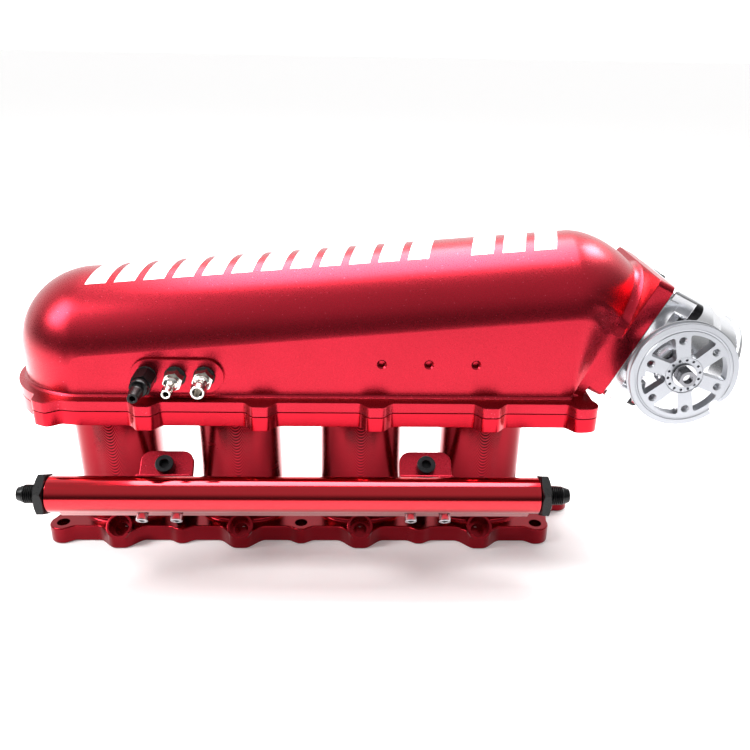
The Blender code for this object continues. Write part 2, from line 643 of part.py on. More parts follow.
# ---------------------------------------------------------------- throttle body
def build_throttle_housing():
    bm = bmesh.new()
    prism(bm, rounded_rectangle(0.046, 0.046, 0.009), HOUSING_S0, 0.0105)
    housing = add("throttle_housing", bm, SILVER, throttle)
    profile = [(0.0425, INLET_S - 0.0035), (0.0425, 0.0620), (BARREL_R, 0.0500), (BARREL_R, 0.0200), (0.0445, 0.0120),
               (0.0445, 0.0050), (BORE_R, 0.0050), (BORE_R, 0.0650), (0.0412, INLET_S), (0.0440, INLET_S),
               (0.0440, INLET_S - 0.0035)]
    barrel = turned("barrel", profile, None, throttle, steps=28)
    boolean(housing, barrel, "UNION")
    bm = bmesh.new()
    for sx in (-1, 1):
        for sy in (-1, 1):
            lug = rounded_rectangle(0.0078, 0.0078, 0.0025, 2)
            prism(bm, [(x + sx * THROTTLE_BOLT_AT, y + sy * THROTTLE_BOLT_AT) for x, y in lug], 0.0030, 0.0220)
    boolean(housing, add("corner_lugs", bm, None, throttle), "UNION")

    bm = bmesh.new()
    rod(bm, shaft_centre + Vector((0, -0.0535, 0)), shaft_centre + Vector((0, -0.040, 0)), 0.0130, 16)
    rod(bm, shaft_centre + Vector((0, 0.040, 0)), shaft_centre + Vector((0, 0.053, 0)), 0.0130, 16)
    boolean(housing, add("shaft_bosses", bm), "UNION")
    bm = bmesh.new()
    for side in (-1, 1):
        place = throttle @ Matrix.Translation((side * 0.020, 0, SHAFT_S))
        block(bm, (-0.0045, 0.030, -0.0045), (0.0045, 0.053, 0.0045), place)
    boolean(housing, add("sensor_pads", bm), "UNION")
    bm = bmesh.new()
    block(bm, shaft_centre + Vector((-0.031, -0.0640, -0.0170)), shaft_centre + Vector((-0.023, -0.040, -0.0090)))
    boolean(housing, add("stop_post", bm), "UNION")

    bm = bmesh.new()
    rod(bm, (0, 0, -0.010), (0, 0, 0.060), BORE_R - 0.0002, 28)
    boolean(housing, add("housing_bore", bm, None, throttle))
    bm = bmesh.new()
    rod(bm, shaft_centre + Vector((0, -0.080, 0)), shaft_centre + Vector((0, 0.080, 0)), SHAFT_R + 2 * GAP, 16)
    boolean(housing, add("shaft_hole", bm))
    bm = bmesh.new()
    rod(bm, shaft_centre + Vector((0, -0.060, 0)), shaft_centre + Vector((0, -0.0455, 0)), BUSH_R + 2 * GAP, 16)
    rod(bm, shaft_centre + Vector((0, 0.0455, 0)), shaft_centre + Vector((0, 0.060, 0)), BUSH_R + 2 * GAP, 16)
    boolean(housing, add("bush_seats", bm))
    bm = bmesh.new()
    for sx in (-1, 1):
        for sy in (-1, 1):
            at = (sx * THROTTLE_BOLT_AT, sy * THROTTLE_BOLT_AT)
            rod(bm, (*at, -0.002), (*at, 0.030), 0.0043, 10)
    boolean(housing, add("housing_bolt_holes", bm, None, throttle))
    bm = bmesh.new()
    for side in (-1, 1):
        at = throttle @ Vector((side * 0.020, 0.044, SHAFT_S))
        rod(bm, at, at + Vector((0, 0.012, 0)), 0.0018, 10)
    low = shaft_centre + Vector((-0.027, -0.060, -0.030))
    rod(bm, low, low + Vector((0, 0, 0.025)), 0.0028, 12)
    boolean(housing, add("small_tappings", bm))

    bm = bmesh.new()
    prism(bm, rounded_rectangle(0.0455, 0.0455, 0.009), GAP, HOUSING_S0 - GAP)
    gasket = add("throttle_gasket", bm, PAPER, throttle)
    bm = bmesh.new()
    rod(bm, (0, 0, -0.002), (0, 0, 0.004), 0.0385, 28)
    for sx in (-1, 1):
        for sy in (-1, 1):
            at = (sx * THROTTLE_BOLT_AT, sy * THROTTLE_BOLT_AT)
            rod(bm, (*at, -0.002), (*at, 0.004), 0.0046, 8)
    boolean(gasket, add("gasket_holes", bm, None, throttle))

    flip = Matrix.Rotation(math.pi, 4, "X")
    corners = [(sx, sy) for sx in (-1, 1) for sy in (-1, 1)]
    for number, (sx, sy) in enumerate(corners, 1):
        at = Matrix.Translation((sx * THROTTLE_BOLT_AT, sy * THROTTLE_BOLT_AT, 0.0223))
        cap_screw(f"throttle_bolt_{number}", 0.0040, 0.0066, 0.0080, 0.0325, BLACK_STEEL, throttle @ at @ flip)

    for side, y0, y1 in (("front", -0.0535, -0.0458), ("rear", 0.0458, 0.0528)):
        place = Matrix.Translation(shaft_centre + Vector((0, y0, 0))) @ Matrix.Rotation(-math.pi / 2, 4, "X")
        turned(f"shaft_bush_{side}", tube_profile(BUSH_R, SHAFT_R + 2 * GAP, 0, y1 - y0), STEEL, place, steps=16)


def build_throttle_small_parts():
    low = shaft_centre + Vector((-0.027, -0.060, -0.0265))
    bm = bmesh.new()
    rod(bm, low, low + Vector((0, 0, 0.0222)), 0.0025, 12)
    add("idle_stop_screw", bm, STEEL)
    bm = bmesh.new()
    nut_at = Matrix.Translation(low + Vector((0, 0, 0.0050)))
    prism(bm, hexagon(0.008), 0.0, 0.0040)
    nut = add("idle_stop_nut", bm, STEEL, nut_at)
    bm = bmesh.new()
    rod(bm, (0, 0, -0.002), (0, 0, 0.006), 0.0028, 12)
    boolean(nut, add("idle_stop_nut_hole", bm, None, nut_at))

    sensor = Matrix.Translation(shaft_centre) @ Matrix.Rotation(-math.pi / 2, 4, "X")
    bm = bmesh.new()
    rod(bm, (0, 0, SENSOR_Y), (0, 0, 0.068), 0.0150, 20)
    body = add("position_sensor", bm, PLASTIC, sensor)
    bm = bmesh.new()
    ears = [sensor.inverted() @ (throttle @ Vector((side * 0.020, SENSOR_Y, SHAFT_S))) for side in (-1, 1)]
    for at in ears:
        rod(bm, at, at + Vector((0, 0, 0.006)), 0.0060, 12)
    boolean(body, add("sensor_ears", bm, None, sensor), "UNION")
    bm = bmesh.new()
    block(bm, (-0.006, 0.008, 0.0560), (0.006, 0.028, 0.0660))
    boolean(body, add("sensor_plug", bm, None, sensor), "UNION")
    bm = bmesh.new()
    block(bm, (-0.0045, 0.018, 0.0575), (0.0045, 0.032, 0.0645))
    rod(bm, (0, 0, 0.050), (0, 0, 0.0610), 0.0057, 14)
    for at in ears:
        rod(bm, at - Vector((0, 0, 0.002)), at + Vector((0, 0, 0.010)), 0.0018, 10)
    boolean(body, add("sensor_holes", bm, None, sensor))
    flip = Matrix.Rotation(math.pi, 4, "X")
    for number, at in enumerate(ears, 1):
        place = sensor @ Matrix.Translation(at + Vector((0, 0, 0.0063))) @ flip
        cap_screw(f"sensor_screw_{number}", 0.0015, 0.0030, 0.0025, 0.0130, STEEL, place, sides=10)


def build_spring():
    """Torsion spring round the front boss, between housing and wheel."""
    turns, per_turn, wire, mean = 3.5, 12, 0.0010, 0.0158
    curve = bpy.data.curves.new("return_spring", "CURVE")
    curve.dimensions = "3D"
    curve.bevel_depth = wire
    curve.bevel_resolution = 0
    curve.use_fill_caps = True
    count = int(turns * per_turn) + 1
    spline = curve.splines.new("POLY")
    spline.points.add(count - 1)
    for i, point in enumerate(spline.points):
        angle = 2 * math.pi * i / per_turn
        y = -0.0550 - 0.0074 * i / (count - 1)
        at = shaft_centre + Vector((mean * math.cos(angle), y, mean * math.sin(angle)))
        point.co = (*at, 1)
    curve.materials.append(STEEL)
    spring = bpy.data.objects.new("return_spring", curve)
    parts.objects.link(spring)


# ---------------------------------------------------------------- moving throttle parts
def build_moving():
    axis = bpy.data.objects.new("throttle_axis", None)
    parts.objects.link(axis)
    axis.matrix_basis = Matrix.Translation(shaft_centre) @ Matrix.Rotation(math.pi / 2, 4, "X")
    # In this frame Z points out to the wheel (world -Y), X is world X and Y is world Z.

    bm = bmesh.new()
    rod(bm, (0, 0, -0.0600), (0, 0, 0.0640), SHAFT_R, 16)
    shaft = add("throttle_shaft", bm, STEEL, None, axis)
    bm = bmesh.new()
    rod(bm, (0, 0, 0.0600), (0, 0, 0.0760), 0.0040, 14)
    boolean(shaft, add("shaft_thread", bm, None, None, axis), "UNION")
    bm = bmesh.new()
    block(bm, (-0.02, -0.0368, -0.0013), (0.02, 0.0368, 0.0013), plate_frame())
    boolean(shaft, add("shaft_slot", bm, None, None, axis))
    bm = bmesh.new()
    for y in (-0.018, 0.018):
        rod(bm, plate_frame() @ Vector((0, y, -0.02)), plate_frame() @ Vector((0, y, 0.02)), 0.0023, 10)
    boolean(shaft, add("shaft_screw_holes", bm, None, None, axis))

    bm = bmesh.new()
    rod(bm, (0, 0, -0.0010), (0, 0, 0.0010), BORE_R - 0.0008, 32)
    plate = add("butterfly", bm, SILVER, plate_frame(), axis)
    bm = bmesh.new()
    for y in (-0.018, 0.018):
        rod(bm, (0, y, -0.004), (0, y, 0.004), 0.0023, 10)
    boolean(plate, add("butterfly_holes", bm, None, plate_frame(), axis))
    for number, y in enumerate((-0.018, 0.018), 1):
        place = plate_frame() @ Matrix.Translation((0, y, 0.0052)) @ Matrix.Rotation(math.pi, 4, "X")
        cap_screw(f"butterfly_screw_{number}", 0.0020, 0.0034, 0.0022, 0.0105, STEEL, place, 10, axis)

    build_wheel(axis)
    turned("lock_washer", tube_profile(0.0085, 0.0044, WHEEL_FRONT + GAP, WHEEL_FRONT + 0.0013), STEEL, None, axis, 14)
    bm = bmesh.new()
    rod(bm, (0, 0, WHEEL_FRONT + 0.0016), (0, 0, 0.0790), 0.0065, 14)
    nut = add("shaft_nut", bm, STEEL, None, axis)
    bm = bmesh.new()
    rod(bm, (0, 0, 0.060), (0, 0, 0.085), 0.0043, 14)
    boolean(nut, add("shaft_nut_hole", bm, None, None, axis))


def plate_frame():
    """Frame of the closed butterfly inside the shaft frame: Z along the bore, Y along the shaft."""
    shaft_frame = Matrix.Translation(shaft_centre) @ Matrix.Rotation(math.pi / 2, 4, "X")
    bore = throttle.copy()
    bore.translation = shaft_centre
    return shaft_frame.inverted() @ bore


def build_wheel(axis):
    """Six-spoke cable wheel with a grooved rim, a cable-end notch and a stop tab behind."""
    front, back = WHEEL_FRONT, WHEEL_BACK
    middle = (front + back) / 2
    profile = [(WHEEL_R, front), (WHEEL_R, front - 0.0018), (WHEEL_R - 0.0035, middle),
               (WHEEL_R, back + 0.0018), (WHEEL_R, back), (0.0044, back), (0.0044, front)]
    wheel = turned("cable_wheel", profile, SILVER, None, axis, steps=36)
    bm = bmesh.new()
    for k in range(6):
        prism(bm, window_outline(math.radians(71 + 60 * k)), back - 0.004, front + 0.004)
    boolean(wheel, add("wheel_windows", bm, None, None, axis))
    bm = bmesh.new()
    for k in range(6):
        angle = math.radians(41 + 60 * k)
        at = (0.0262 * math.cos(angle), 0.0262 * math.sin(angle))
        rod(bm, (*at, back - 0.003), (*at, front + 0.003), 0.0018, 8)
    boolean(wheel, add("spoke_holes", bm, None, None, axis))
    bm = bmesh.new()
    notch = math.radians(-42)
    at = Vector((math.cos(notch), math.sin(notch), 0))
    rod(bm, at * 0.0345 + Vector((0, 0, back - 0.004)), at * 0.0345 + Vector((0, 0, front + 0.004)), 0.0036, 12)
    boolean(wheel, add("cable_end_seat", bm, None, None, axis))
    bm = bmesh.new()
    turn = Matrix.Rotation(notch, 4, "Z")
    block(bm, (0.0350, -0.0016, back - 0.004), (0.0450, 0.0200, front + 0.004), turn @ Matrix.Rotation(-0.10, 4, "Z"))
    boolean(wheel, add("cable_way", bm, None, None, axis))
    bm = bmesh.new()
    block(bm, (-0.0320, -0.0040, back - 0.0080), (-0.0250, 0.0040, back + 0.0010))
    boolean(wheel, add("stop_tab", bm, None, None, axis), "UNION")


def window_outline(middle):
    """One opening between two spokes: round outside, narrowing to the hub."""
    outer, inner = 0.0300, 0.0135
    wide, narrow = math.radians(19.5), math.radians(9)
    points = [(outer, wide), (outer, wide / 3), (outer, -wide / 3), (outer, -wide), (inner, -narrow), (inner, narrow)]
    return [(r * math.cos(middle + a), r * math.sin(middle + a)) for r, a in points]


build_runner_base()
build_seal_and_joint_bolts()
build_lid()
build_vacuum_fittings()
build_rail()
build_throttle_housing()
build_throttle_small_parts()
build_spring()
build_moving()
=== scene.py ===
# %% [markdown]
# # A billet intake manifold
#
# This is the part that feeds air and fuel to a four-cylinder engine. It is cut from solid
# aluminium: a head flange, four oval runners, a domed plenum bolted on top, a fuel rail in
# front and a throttle body with a cable wheel at the end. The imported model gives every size
# and place. Here each piece is modelled again with its fillets, chamfers and machining marks.

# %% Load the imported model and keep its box
import math

import bpy
import numpy as np
from mathutils import Matrix, Vector


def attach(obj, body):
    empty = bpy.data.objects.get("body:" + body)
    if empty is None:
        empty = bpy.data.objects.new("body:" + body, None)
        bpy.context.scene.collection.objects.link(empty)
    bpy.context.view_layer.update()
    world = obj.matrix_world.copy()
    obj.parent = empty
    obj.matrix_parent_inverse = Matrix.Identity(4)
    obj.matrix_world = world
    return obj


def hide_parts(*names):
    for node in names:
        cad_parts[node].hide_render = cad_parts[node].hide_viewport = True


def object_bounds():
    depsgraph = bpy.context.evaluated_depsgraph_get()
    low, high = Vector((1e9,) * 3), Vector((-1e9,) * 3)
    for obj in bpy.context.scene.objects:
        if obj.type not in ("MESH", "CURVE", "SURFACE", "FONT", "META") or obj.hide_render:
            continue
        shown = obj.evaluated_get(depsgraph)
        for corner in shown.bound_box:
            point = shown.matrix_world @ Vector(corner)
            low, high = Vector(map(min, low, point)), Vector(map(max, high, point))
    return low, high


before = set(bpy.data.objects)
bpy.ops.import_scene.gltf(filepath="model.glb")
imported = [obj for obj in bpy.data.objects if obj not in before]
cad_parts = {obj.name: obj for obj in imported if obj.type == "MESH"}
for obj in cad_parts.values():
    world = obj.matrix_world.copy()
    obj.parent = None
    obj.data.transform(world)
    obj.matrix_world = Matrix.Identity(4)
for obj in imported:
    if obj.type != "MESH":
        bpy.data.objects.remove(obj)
cad_low, cad_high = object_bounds()
print("packed model:", len(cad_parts), "nodes, from", cad_low, "to", cad_high)

# %% [markdown]
# ## The camera
#
# The camera stands in front of the part, near its middle, and looks down, so the front of
# the runners and the top of the plenum both show. The camera is placed first,
# because every later choice is judged through it. Its aim is given as three turns: down,
# sideways, and a very small roll.

# %% Camera
CAMERA_PLACE = Vector((0.0407, -0.5775, 0.3760))
FOCAL_LENGTH_MM = 38.2
SENSOR_WIDTH_MM = 36
LOOK_DOWN = math.radians(23.41)
LOOK_RIGHT = math.radians(1.71)
ROLL = math.radians(1.11)
camera_data = bpy.data.cameras.new("studio_camera")
camera_data.lens = FOCAL_LENGTH_MM
camera_data.sensor_width = SENSOR_WIDTH_MM
camera = bpy.data.objects.new("studio_camera", camera_data)
bpy.context.scene.collection.objects.link(camera)
camera.matrix_world = (Matrix.Translation(CAMERA_PLACE)
                       @ Matrix.Rotation(-LOOK_RIGHT, 4, "Z")
                       @ Matrix.Rotation(math.pi / 2 - LOOK_DOWN, 4, "X")
                       @ Matrix.Rotation(ROLL, 4, "Z"))
bpy.context.scene.camera = camera
print("camera", camera.location)

# %% [markdown]
# ## Small helpers
#
# Blender's operators act on whatever is selected, so each piece starts by clearing the
# selection. A few short helpers do what a person does by hand again and again: add a
# primitive, pull rings out of it, bevel its edges, cut it with another shape.

# %% Helpers for selecting
def choose(obj):
    """Make obj the only selected object."""
    if bpy.context.object and bpy.context.object.mode != "OBJECT":
        bpy.ops.object.mode_set(mode="OBJECT")
    bpy.ops.object.select_all(action="DESELECT")
    obj.select_set(True)
    bpy.context.view_layer.objects.active = obj


def clear():
    """Select nothing, so that an operator acts only on what is added next."""
    bpy.ops.object.select_all(action="DESELECT")


def edit():
    """Enter edit mode with the whole active mesh selected."""
    bpy.ops.object.mode_set(mode="EDIT")
    bpy.ops.mesh.select_all(action="SELECT")


def leave(name=None):
    """Make the faces point outwards, leave edit mode and name the piece."""
    bpy.ops.mesh.select_all(action="SELECT")
    bpy.ops.mesh.normals_make_consistent(inside=False)
    bpy.ops.object.mode_set(mode="OBJECT")
    obj = bpy.context.object
    if name:
        obj.name = name
    return obj


def put(obj, place):
    """Move a piece to its place and bake the move into its mesh."""
    choose(obj)
    obj.matrix_world = place @ obj.matrix_world
    bpy.ops.object.transform_apply(location=True, rotation=True, scale=True)
    return obj


# %% Helpers for modifiers and for shapes that cut or join
def apply_modifier(obj, kind, **settings):
    """Add a modifier, set it and apply it, so that its result is in the mesh."""
    choose(obj)
    modifier = obj.modifiers.new(kind.lower(), kind)
    for key, value in settings.items():
        setattr(modifier, key, value)
    bpy.ops.object.modifier_apply(modifier=modifier.name)
    return obj


def bevel(obj, width, segments=2, angle=35):
    """Round every edge sharper than the angle."""
    return apply_modifier(obj, "BEVEL", width=width, segments=segments, limit_method="ANGLE",
                          angle_limit=math.radians(angle), use_clamp_overlap=True)


def cut(target, *tools):
    """Take each tool away from the target, one after the other."""
    for tool in tools:
        apply_modifier(target, "BOOLEAN", operation="DIFFERENCE", object=tool, solver="EXACT")
        bpy.data.objects.remove(tool)


def join(target, *tools):
    """Weld each tool to the target."""
    for tool in tools:
        apply_modifier(target, "BOOLEAN", operation="UNION", object=tool, solver="EXACT")
        bpy.data.objects.remove(tool)


def gather(name, objects):
    """Put several separate shapes into one object, for instance a row of drills."""
    clear()
    for obj in objects:
        obj.select_set(True)
    bpy.context.view_layer.objects.active = objects[0]
    bpy.ops.object.join()
    objects[0].name = name
    return objects[0]


# %% Helpers for rods, blocks and lathe parts
def cylinder(name, radius, low, high, place=None, sides=32, at=(0, 0), top=None):
    """A rod along local Z from low to high; top gives it another radius at the high end."""
    clear()
    upper = radius if top is None else top
    bpy.ops.mesh.primitive_cone_add(vertices=sides, radius1=radius, radius2=upper, depth=high - low,
                                    location=(at[0], at[1], (low + high) / 2))
    obj = bpy.context.object
    obj.name = name
    return put(obj, place or Matrix())


def box(name, low, high, place=None):
    """A block between two corners."""
    clear()
    low, high = Vector(low), Vector(high)
    bpy.ops.mesh.primitive_cube_add(size=1, location=(low + high) / 2)
    obj = bpy.context.object
    obj.scale = high - low
    obj.name = name
    bpy.ops.object.transform_apply(location=True, rotation=True, scale=True)
    return put(obj, place or Matrix())


def turned(name, profile, place=None, sides=48, ring=False):
    """A lathe part: a circle pulled along its axis and scaled at each (radius, height)."""
    clear()
    radius, height = profile[0]
    bpy.ops.mesh.primitive_circle_add(vertices=sides, radius=radius, location=(0, 0, 0))
    edit()
    bpy.ops.transform.translate(value=(0, 0, height))
    for r, z in profile[1:]:
        bpy.ops.mesh.extrude_region_move(TRANSFORM_OT_translate={"value": (0, 0, z - height)})
        bpy.ops.transform.resize(value=(r / radius, r / radius, 1), center_override=(0, 0, z))
        radius, height = r, z
    bpy.ops.mesh.select_all(action="DESELECT")
    bpy.ops.mesh.select_non_manifold(extend=False)
    if ring:
        bpy.ops.mesh.bridge_edge_loops()
    else:
        bpy.ops.mesh.fill_holes(sides=0)
    return put(leave(name), place or Matrix())


# %% Helpers for plates and wrapped skins
def outline_plate(name, outline, low, high, place=None):
    """A flat outline pushed up into a plate: a filled circle whose rim is moved to the outline."""
    clear()
    bpy.ops.mesh.primitive_circle_add(vertices=len(outline), radius=1, fill_type="NGON")
    obj = bpy.context.object
    for vertex, (x, y) in zip(obj.data.vertices, outline):
        vertex.co = (x, y, low)
    edit()
    bpy.ops.mesh.extrude_region_move(TRANSFORM_OT_translate={"value": (0, 0, high - low)})
    return put(leave(name), place or Matrix())


def skin(name, rows, wrap=True):
    """A grid wrapped over rows of points; wrap closes each row into a ring. Open ends are filled."""
    clear()
    if wrap:
        rows = [list(row) + [row[0]] for row in rows]
    across, along = len(rows[0]), len(rows)
    bpy.ops.mesh.primitive_grid_add(x_subdivisions=across - 1, y_subdivisions=along - 1, size=2)
    obj = bpy.context.object
    for vertex in obj.data.vertices:
        i = round((vertex.co.x + 1) / 2 * (across - 1))
        k = round((vertex.co.y + 1) / 2 * (along - 1))
        vertex.co = rows[k][i]
    edit()
    bpy.ops.mesh.remove_doubles(threshold=0.00001)
    bpy.ops.mesh.select_all(action="DESELECT")
    bpy.ops.mesh.select_non_manifold(extend=False)
    bpy.ops.mesh.fill_holes(sides=0)
    return leave(name)


# %% Helpers for outlines
def arc(cx, cy, radius, start, end, count):
    """Points on an arc, angles in degrees."""
    angles = [math.radians(start + (end - start) * i / count) for i in range(count + 1)]
    return [(cx + radius * math.cos(a), cy + radius * math.sin(a)) for a in angles]


def hexagon(across_flats, turn=0):
    """The six corners, turned by so many degrees."""
    return arc(0, 0, across_flats / math.sqrt(3), turn, turn + 300, 5)


def rounded_rectangle(half_x, half_y, radius, count=6):
    """A rectangle round the origin with an arc at each corner."""
    points = []
    for k, (sx, sy) in enumerate(((1, 1), (-1, 1), (-1, -1), (1, -1))):
        points += arc(sx * (half_x - radius), sy * (half_y - radius), radius, 90 * k, 90 * k + 90, count)
    return points


print("points in a rounded corner:", len(rounded_rectangle(2, 2, 1)) // 4)


# %% [markdown]
# ## Materials
#
# Anodising grows a clear, dyed oxide layer on aluminium. The metal under it still shines, so
# the red is a tinted metal and not a paint, with a thin clear skin that gives white
# highlights. How the metal was prepared decides the rest: bead blasting leaves a satin grain
# with tiny sparkles, a ball-end cutter leaves fine steps, polishing leaves a mirror.

# %% Colour and node helpers
MM = 0.001
# noise seldom leaves this span, so it is stretched to fill the range of a roughness
NOISE_SPAN = {"From Min": 0.3, "From Max": 0.7}


def colour(code):
    """sRGB hex to the linear values that a shader wants."""
    channels = [int(code[i:i + 2], 16) / 255 for i in (0, 2, 4)]
    return tuple(c / 12.92 if c <= 0.04045 else ((c + 0.055) / 1.055) ** 2.4 for c in channels) + (1.0,)


def node(tree, kind, inputs=(), **settings):
    """Add a node with its settings; inputs maps a socket to a value or to another socket."""
    new = tree.nodes.new(kind)
    for key, value in settings.items():
        setattr(new, key, value)
    for key, value in dict(inputs).items():
        if isinstance(value, bpy.types.NodeSocket):
            tree.links.new(value, new.inputs[key])
        else:
            new.inputs[key].default_value = value
    return new


def surface(name, code, roughness, metallic, **extra):
    """A Principled material; returns the material, its tree and its shader."""
    material = bpy.data.materials.new(name)
    material.use_nodes = True
    tree = material.node_tree
    shader = tree.nodes["Principled BSDF"]
    shader.inputs["Base Color"].default_value = colour(code)
    shader.inputs["Roughness"].default_value = roughness
    shader.inputs["Metallic"].default_value = metallic
    for key, value in extra.items():
        shader.inputs[key.replace("_", " ")].default_value = value
    return material, tree, shader


print("red in linear light:", colour("B00D1E")[:3])

# %% [markdown]
# ### Bead-blasted red anodising
#
# The plenum is blasted before it is dyed. The grain is about 0.4 mm, drawn at 0.7 mm so that
# it shows. A few grains catch the light; these glints are painted into the colour as small
# pink spots, a painted highlight. Broad slow clouds keep the long walls from looking like plastic.

# %% Red anodised, blasted
GRAIN = 0.714 * MM
GLINT_SPACING = 1.923 * MM
CLOUD = 55.5 * MM
# a cell holds a painted glint when its random colour is brighter than this
GLINT_THRESHOLD = 0.72


def make_blasted_red():
    """Satin grain for the roughness and bump; clouds and painted glints for the colour."""
    material, tree, shader = surface("red_anodised_blasted", "B00D1E", 0.3, 1.0,
                                     Coat_Weight=0.3, Coat_Roughness=0.3)
    place = node(tree, "ShaderNodeTexCoord").outputs["Object"]
    fine = node(tree, "ShaderNodeTexNoise", {"Vector": place, "Scale": 1 / GRAIN, "Detail": 2.0})
    cloud = node(tree, "ShaderNodeTexNoise", {"Vector": place, "Scale": 1 / CLOUD, "Detail": 3.0})
    glint_cells = node(tree, "ShaderNodeTexVoronoi", {"Vector": place, "Scale": 1 / GLINT_SPACING,
                                                "Randomness": 1.0})
    # a painted glint is bright in its middle and gone at a sixth of a cell
    bright = node(tree, "ShaderNodeMapRange", {"Value": glint_cells.outputs["Distance"], "From Min": 0.06,
                                               "From Max": 0.16, "To Min": 1.0, "To Max": 0.0})
    chance = node(tree, "ShaderNodeMath", {0: glint_cells.outputs["Color"], 1: GLINT_THRESHOLD},
                  operation="GREATER_THAN")
    spark = node(tree, "ShaderNodeMath", {0: bright.outputs["Result"], 1: chance.outputs["Value"]},
                 operation="MULTIPLY")
    base = node(tree, "ShaderNodeMix", {"Factor": cloud.outputs["Fac"], "A": colour("960A1D"),
                                        "B": colour("AC0E28")}, data_type="RGBA")
    # the pink spot colour is a painted highlight, not a colour of the metal
    tint = node(tree, "ShaderNodeMix", {"Factor": spark.outputs["Value"], "A": base.outputs["Result"],
                                        "B": colour("F2647A")}, data_type="RGBA")
    rough = node(tree, "ShaderNodeMapRange", {"Value": fine.outputs["Fac"], **NOISE_SPAN,
                                              "To Min": 0.25, "To Max": 0.33})
    bump = node(tree, "ShaderNodeBump", {"Height": fine.outputs["Fac"], "Distance": 0.02 * MM,
                                         "Strength": 0.6})
    tree.links.new(tint.outputs["Result"], shader.inputs["Base Color"])
    tree.links.new(rough.outputs["Result"], shader.inputs["Roughness"])
    tree.links.new(bump.outputs["Normal"], shader.inputs["Normal"])
    return material


BLASTED_RED = make_blasted_red()
print("made", BLASTED_RED.name)

# %% [markdown]
# ### Machined red anodising
#
# A ball-end cutter follows the round of each runner and leaves fine steps, which show on the
# front as nested contours. They are drawn as a sine of a curved height: the height in the
# middle of a runner, less a share of the distance squared from that middle. The sine bends the
# surface as a bump and also paints the steps' shade and highlight into the colour, as dark and
# light bands. One material serves all four runners, because they stand at one pitch and the
# pattern repeats with it.

# %% Red anodised, machined
PORT_PITCH = 94 * MM
CUTTER_STEP = 2.7 * MM
# how fast the steps fall away to the sides, per metre
CONTOUR_BEND = 210.0


def make_machined_red():
    """Head flange and runners: nested cutter steps between the two flanges, as bump and painted shade."""
    material, tree, shader = surface("red_anodised_machined", "A80A1A", 0.24, 1.0,
                                     Coat_Weight=0.15, Coat_Roughness=0.2)
    place = node(tree, "ShaderNodeTexCoord").outputs["Object"]
    parts = node(tree, "ShaderNodeSeparateXYZ", {"Vector": place})
    # distance from the middle of the nearest runner
    cell = node(tree, "ShaderNodeMath", {0: parts.outputs["X"], 1: PORT_PITCH}, operation="FLOORED_MODULO")
    aside = node(tree, "ShaderNodeMath", {0: cell.outputs["Value"], 1: PORT_PITCH / 2},
                 operation="SUBTRACT").outputs["Value"]
    square = node(tree, "ShaderNodeMath", {0: aside, 1: aside}, operation="MULTIPLY").outputs["Value"]
    valley = node(tree, "ShaderNodeMath", {0: square, 1: -CONTOUR_BEND, 2: parts.outputs["Z"]},
                  operation="MULTIPLY_ADD")
    turns = node(tree, "ShaderNodeMath", {0: valley.outputs["Value"], 1: math.tau / CUTTER_STEP},
                 operation="MULTIPLY")
    wave = node(tree, "ShaderNodeMath", {0: turns.outputs["Value"]}, operation="SINE")
    # the steps fade at the sides, at the foot, at the joint flange and behind the front
    centre = node(tree, "ShaderNodeMapRange", {"Value": square, "From Min": 0.00006,
                                               "From Max": 0.00019, "To Min": 1.0, "To Max": 0.0})
    low = node(tree, "ShaderNodeMapRange", {"Value": parts.outputs["Z"], "From Min": 0.032,
                                            "From Max": 0.048})
    high = node(tree, "ShaderNodeMapRange", {"Value": parts.outputs["Z"], "From Min": 0.110,
                                             "From Max": 0.112, "To Min": 1.0, "To Max": 0.0})
    front = node(tree, "ShaderNodeMapRange", {"Value": parts.outputs["Y"], "From Min": -0.036,
                                              "From Max": -0.034, "To Min": 1.0, "To Max": 0.0})
    mask = centre.outputs["Result"]
    for part in (low, high, front):
        mask = node(tree, "ShaderNodeMath", {0: mask, 1: part.outputs["Result"]},
                    operation="MULTIPLY").outputs["Value"]
    height = node(tree, "ShaderNodeMath", {0: wave.outputs["Value"], 1: mask},
                  operation="MULTIPLY").outputs["Value"]
    shade = node(tree, "ShaderNodeMapRange", {"Value": height, "From Min": -1.0, "From Max": 1.0})
    # the steps' dark and light bands, from near black to red, are painted shade and painted highlight
    tint = node(tree, "ShaderNodeMix", {"Factor": shade.outputs["Result"], "A": colour("1E0002"),
                                        "B": colour("AA1426")}, data_type="RGBA")
    # the joint flange above the runners is brighter; the runners and head flange below it are darker, as
    # painted shade
    whole = node(tree, "ShaderNodeMix", {"Factor": high.outputs["Result"], "A": colour("A40C20"),
                                         "B": tint.outputs["Result"]}, data_type="RGBA")
    tree.links.new(whole.outputs["Result"], shader.inputs["Base Color"])
    bump = node(tree, "ShaderNodeBump", {"Height": height, "Distance": 0.08 * MM, "Strength": 0.8})
    cloud = node(tree, "ShaderNodeTexNoise", {"Vector": place, "Scale": 1 / (33.33 * MM), "Detail": 3.0})
    rough = node(tree, "ShaderNodeMapRange", {"Value": cloud.outputs["Fac"], **NOISE_SPAN,
                                              "To Min": 0.2, "To Max": 0.28})
    tree.links.new(rough.outputs["Result"], shader.inputs["Roughness"])
    tree.links.new(bump.outputs["Normal"], shader.inputs["Normal"])
    return material


MACHINED_RED = make_machined_red()
print("made", MACHINED_RED.name)

# %% [markdown]
# ### Polished red anodising
#
# The fuel rail is drawn bar, polished along its length before it is dyed, so it is nearly a
# mirror. Streaks 33 mm long and two thirds of a millimetre wide break its gloss a little.

# %% Red anodised, polished
STREAK_LENGTH = 33.33 * MM
STREAK_WIDTH = 0.6667 * MM


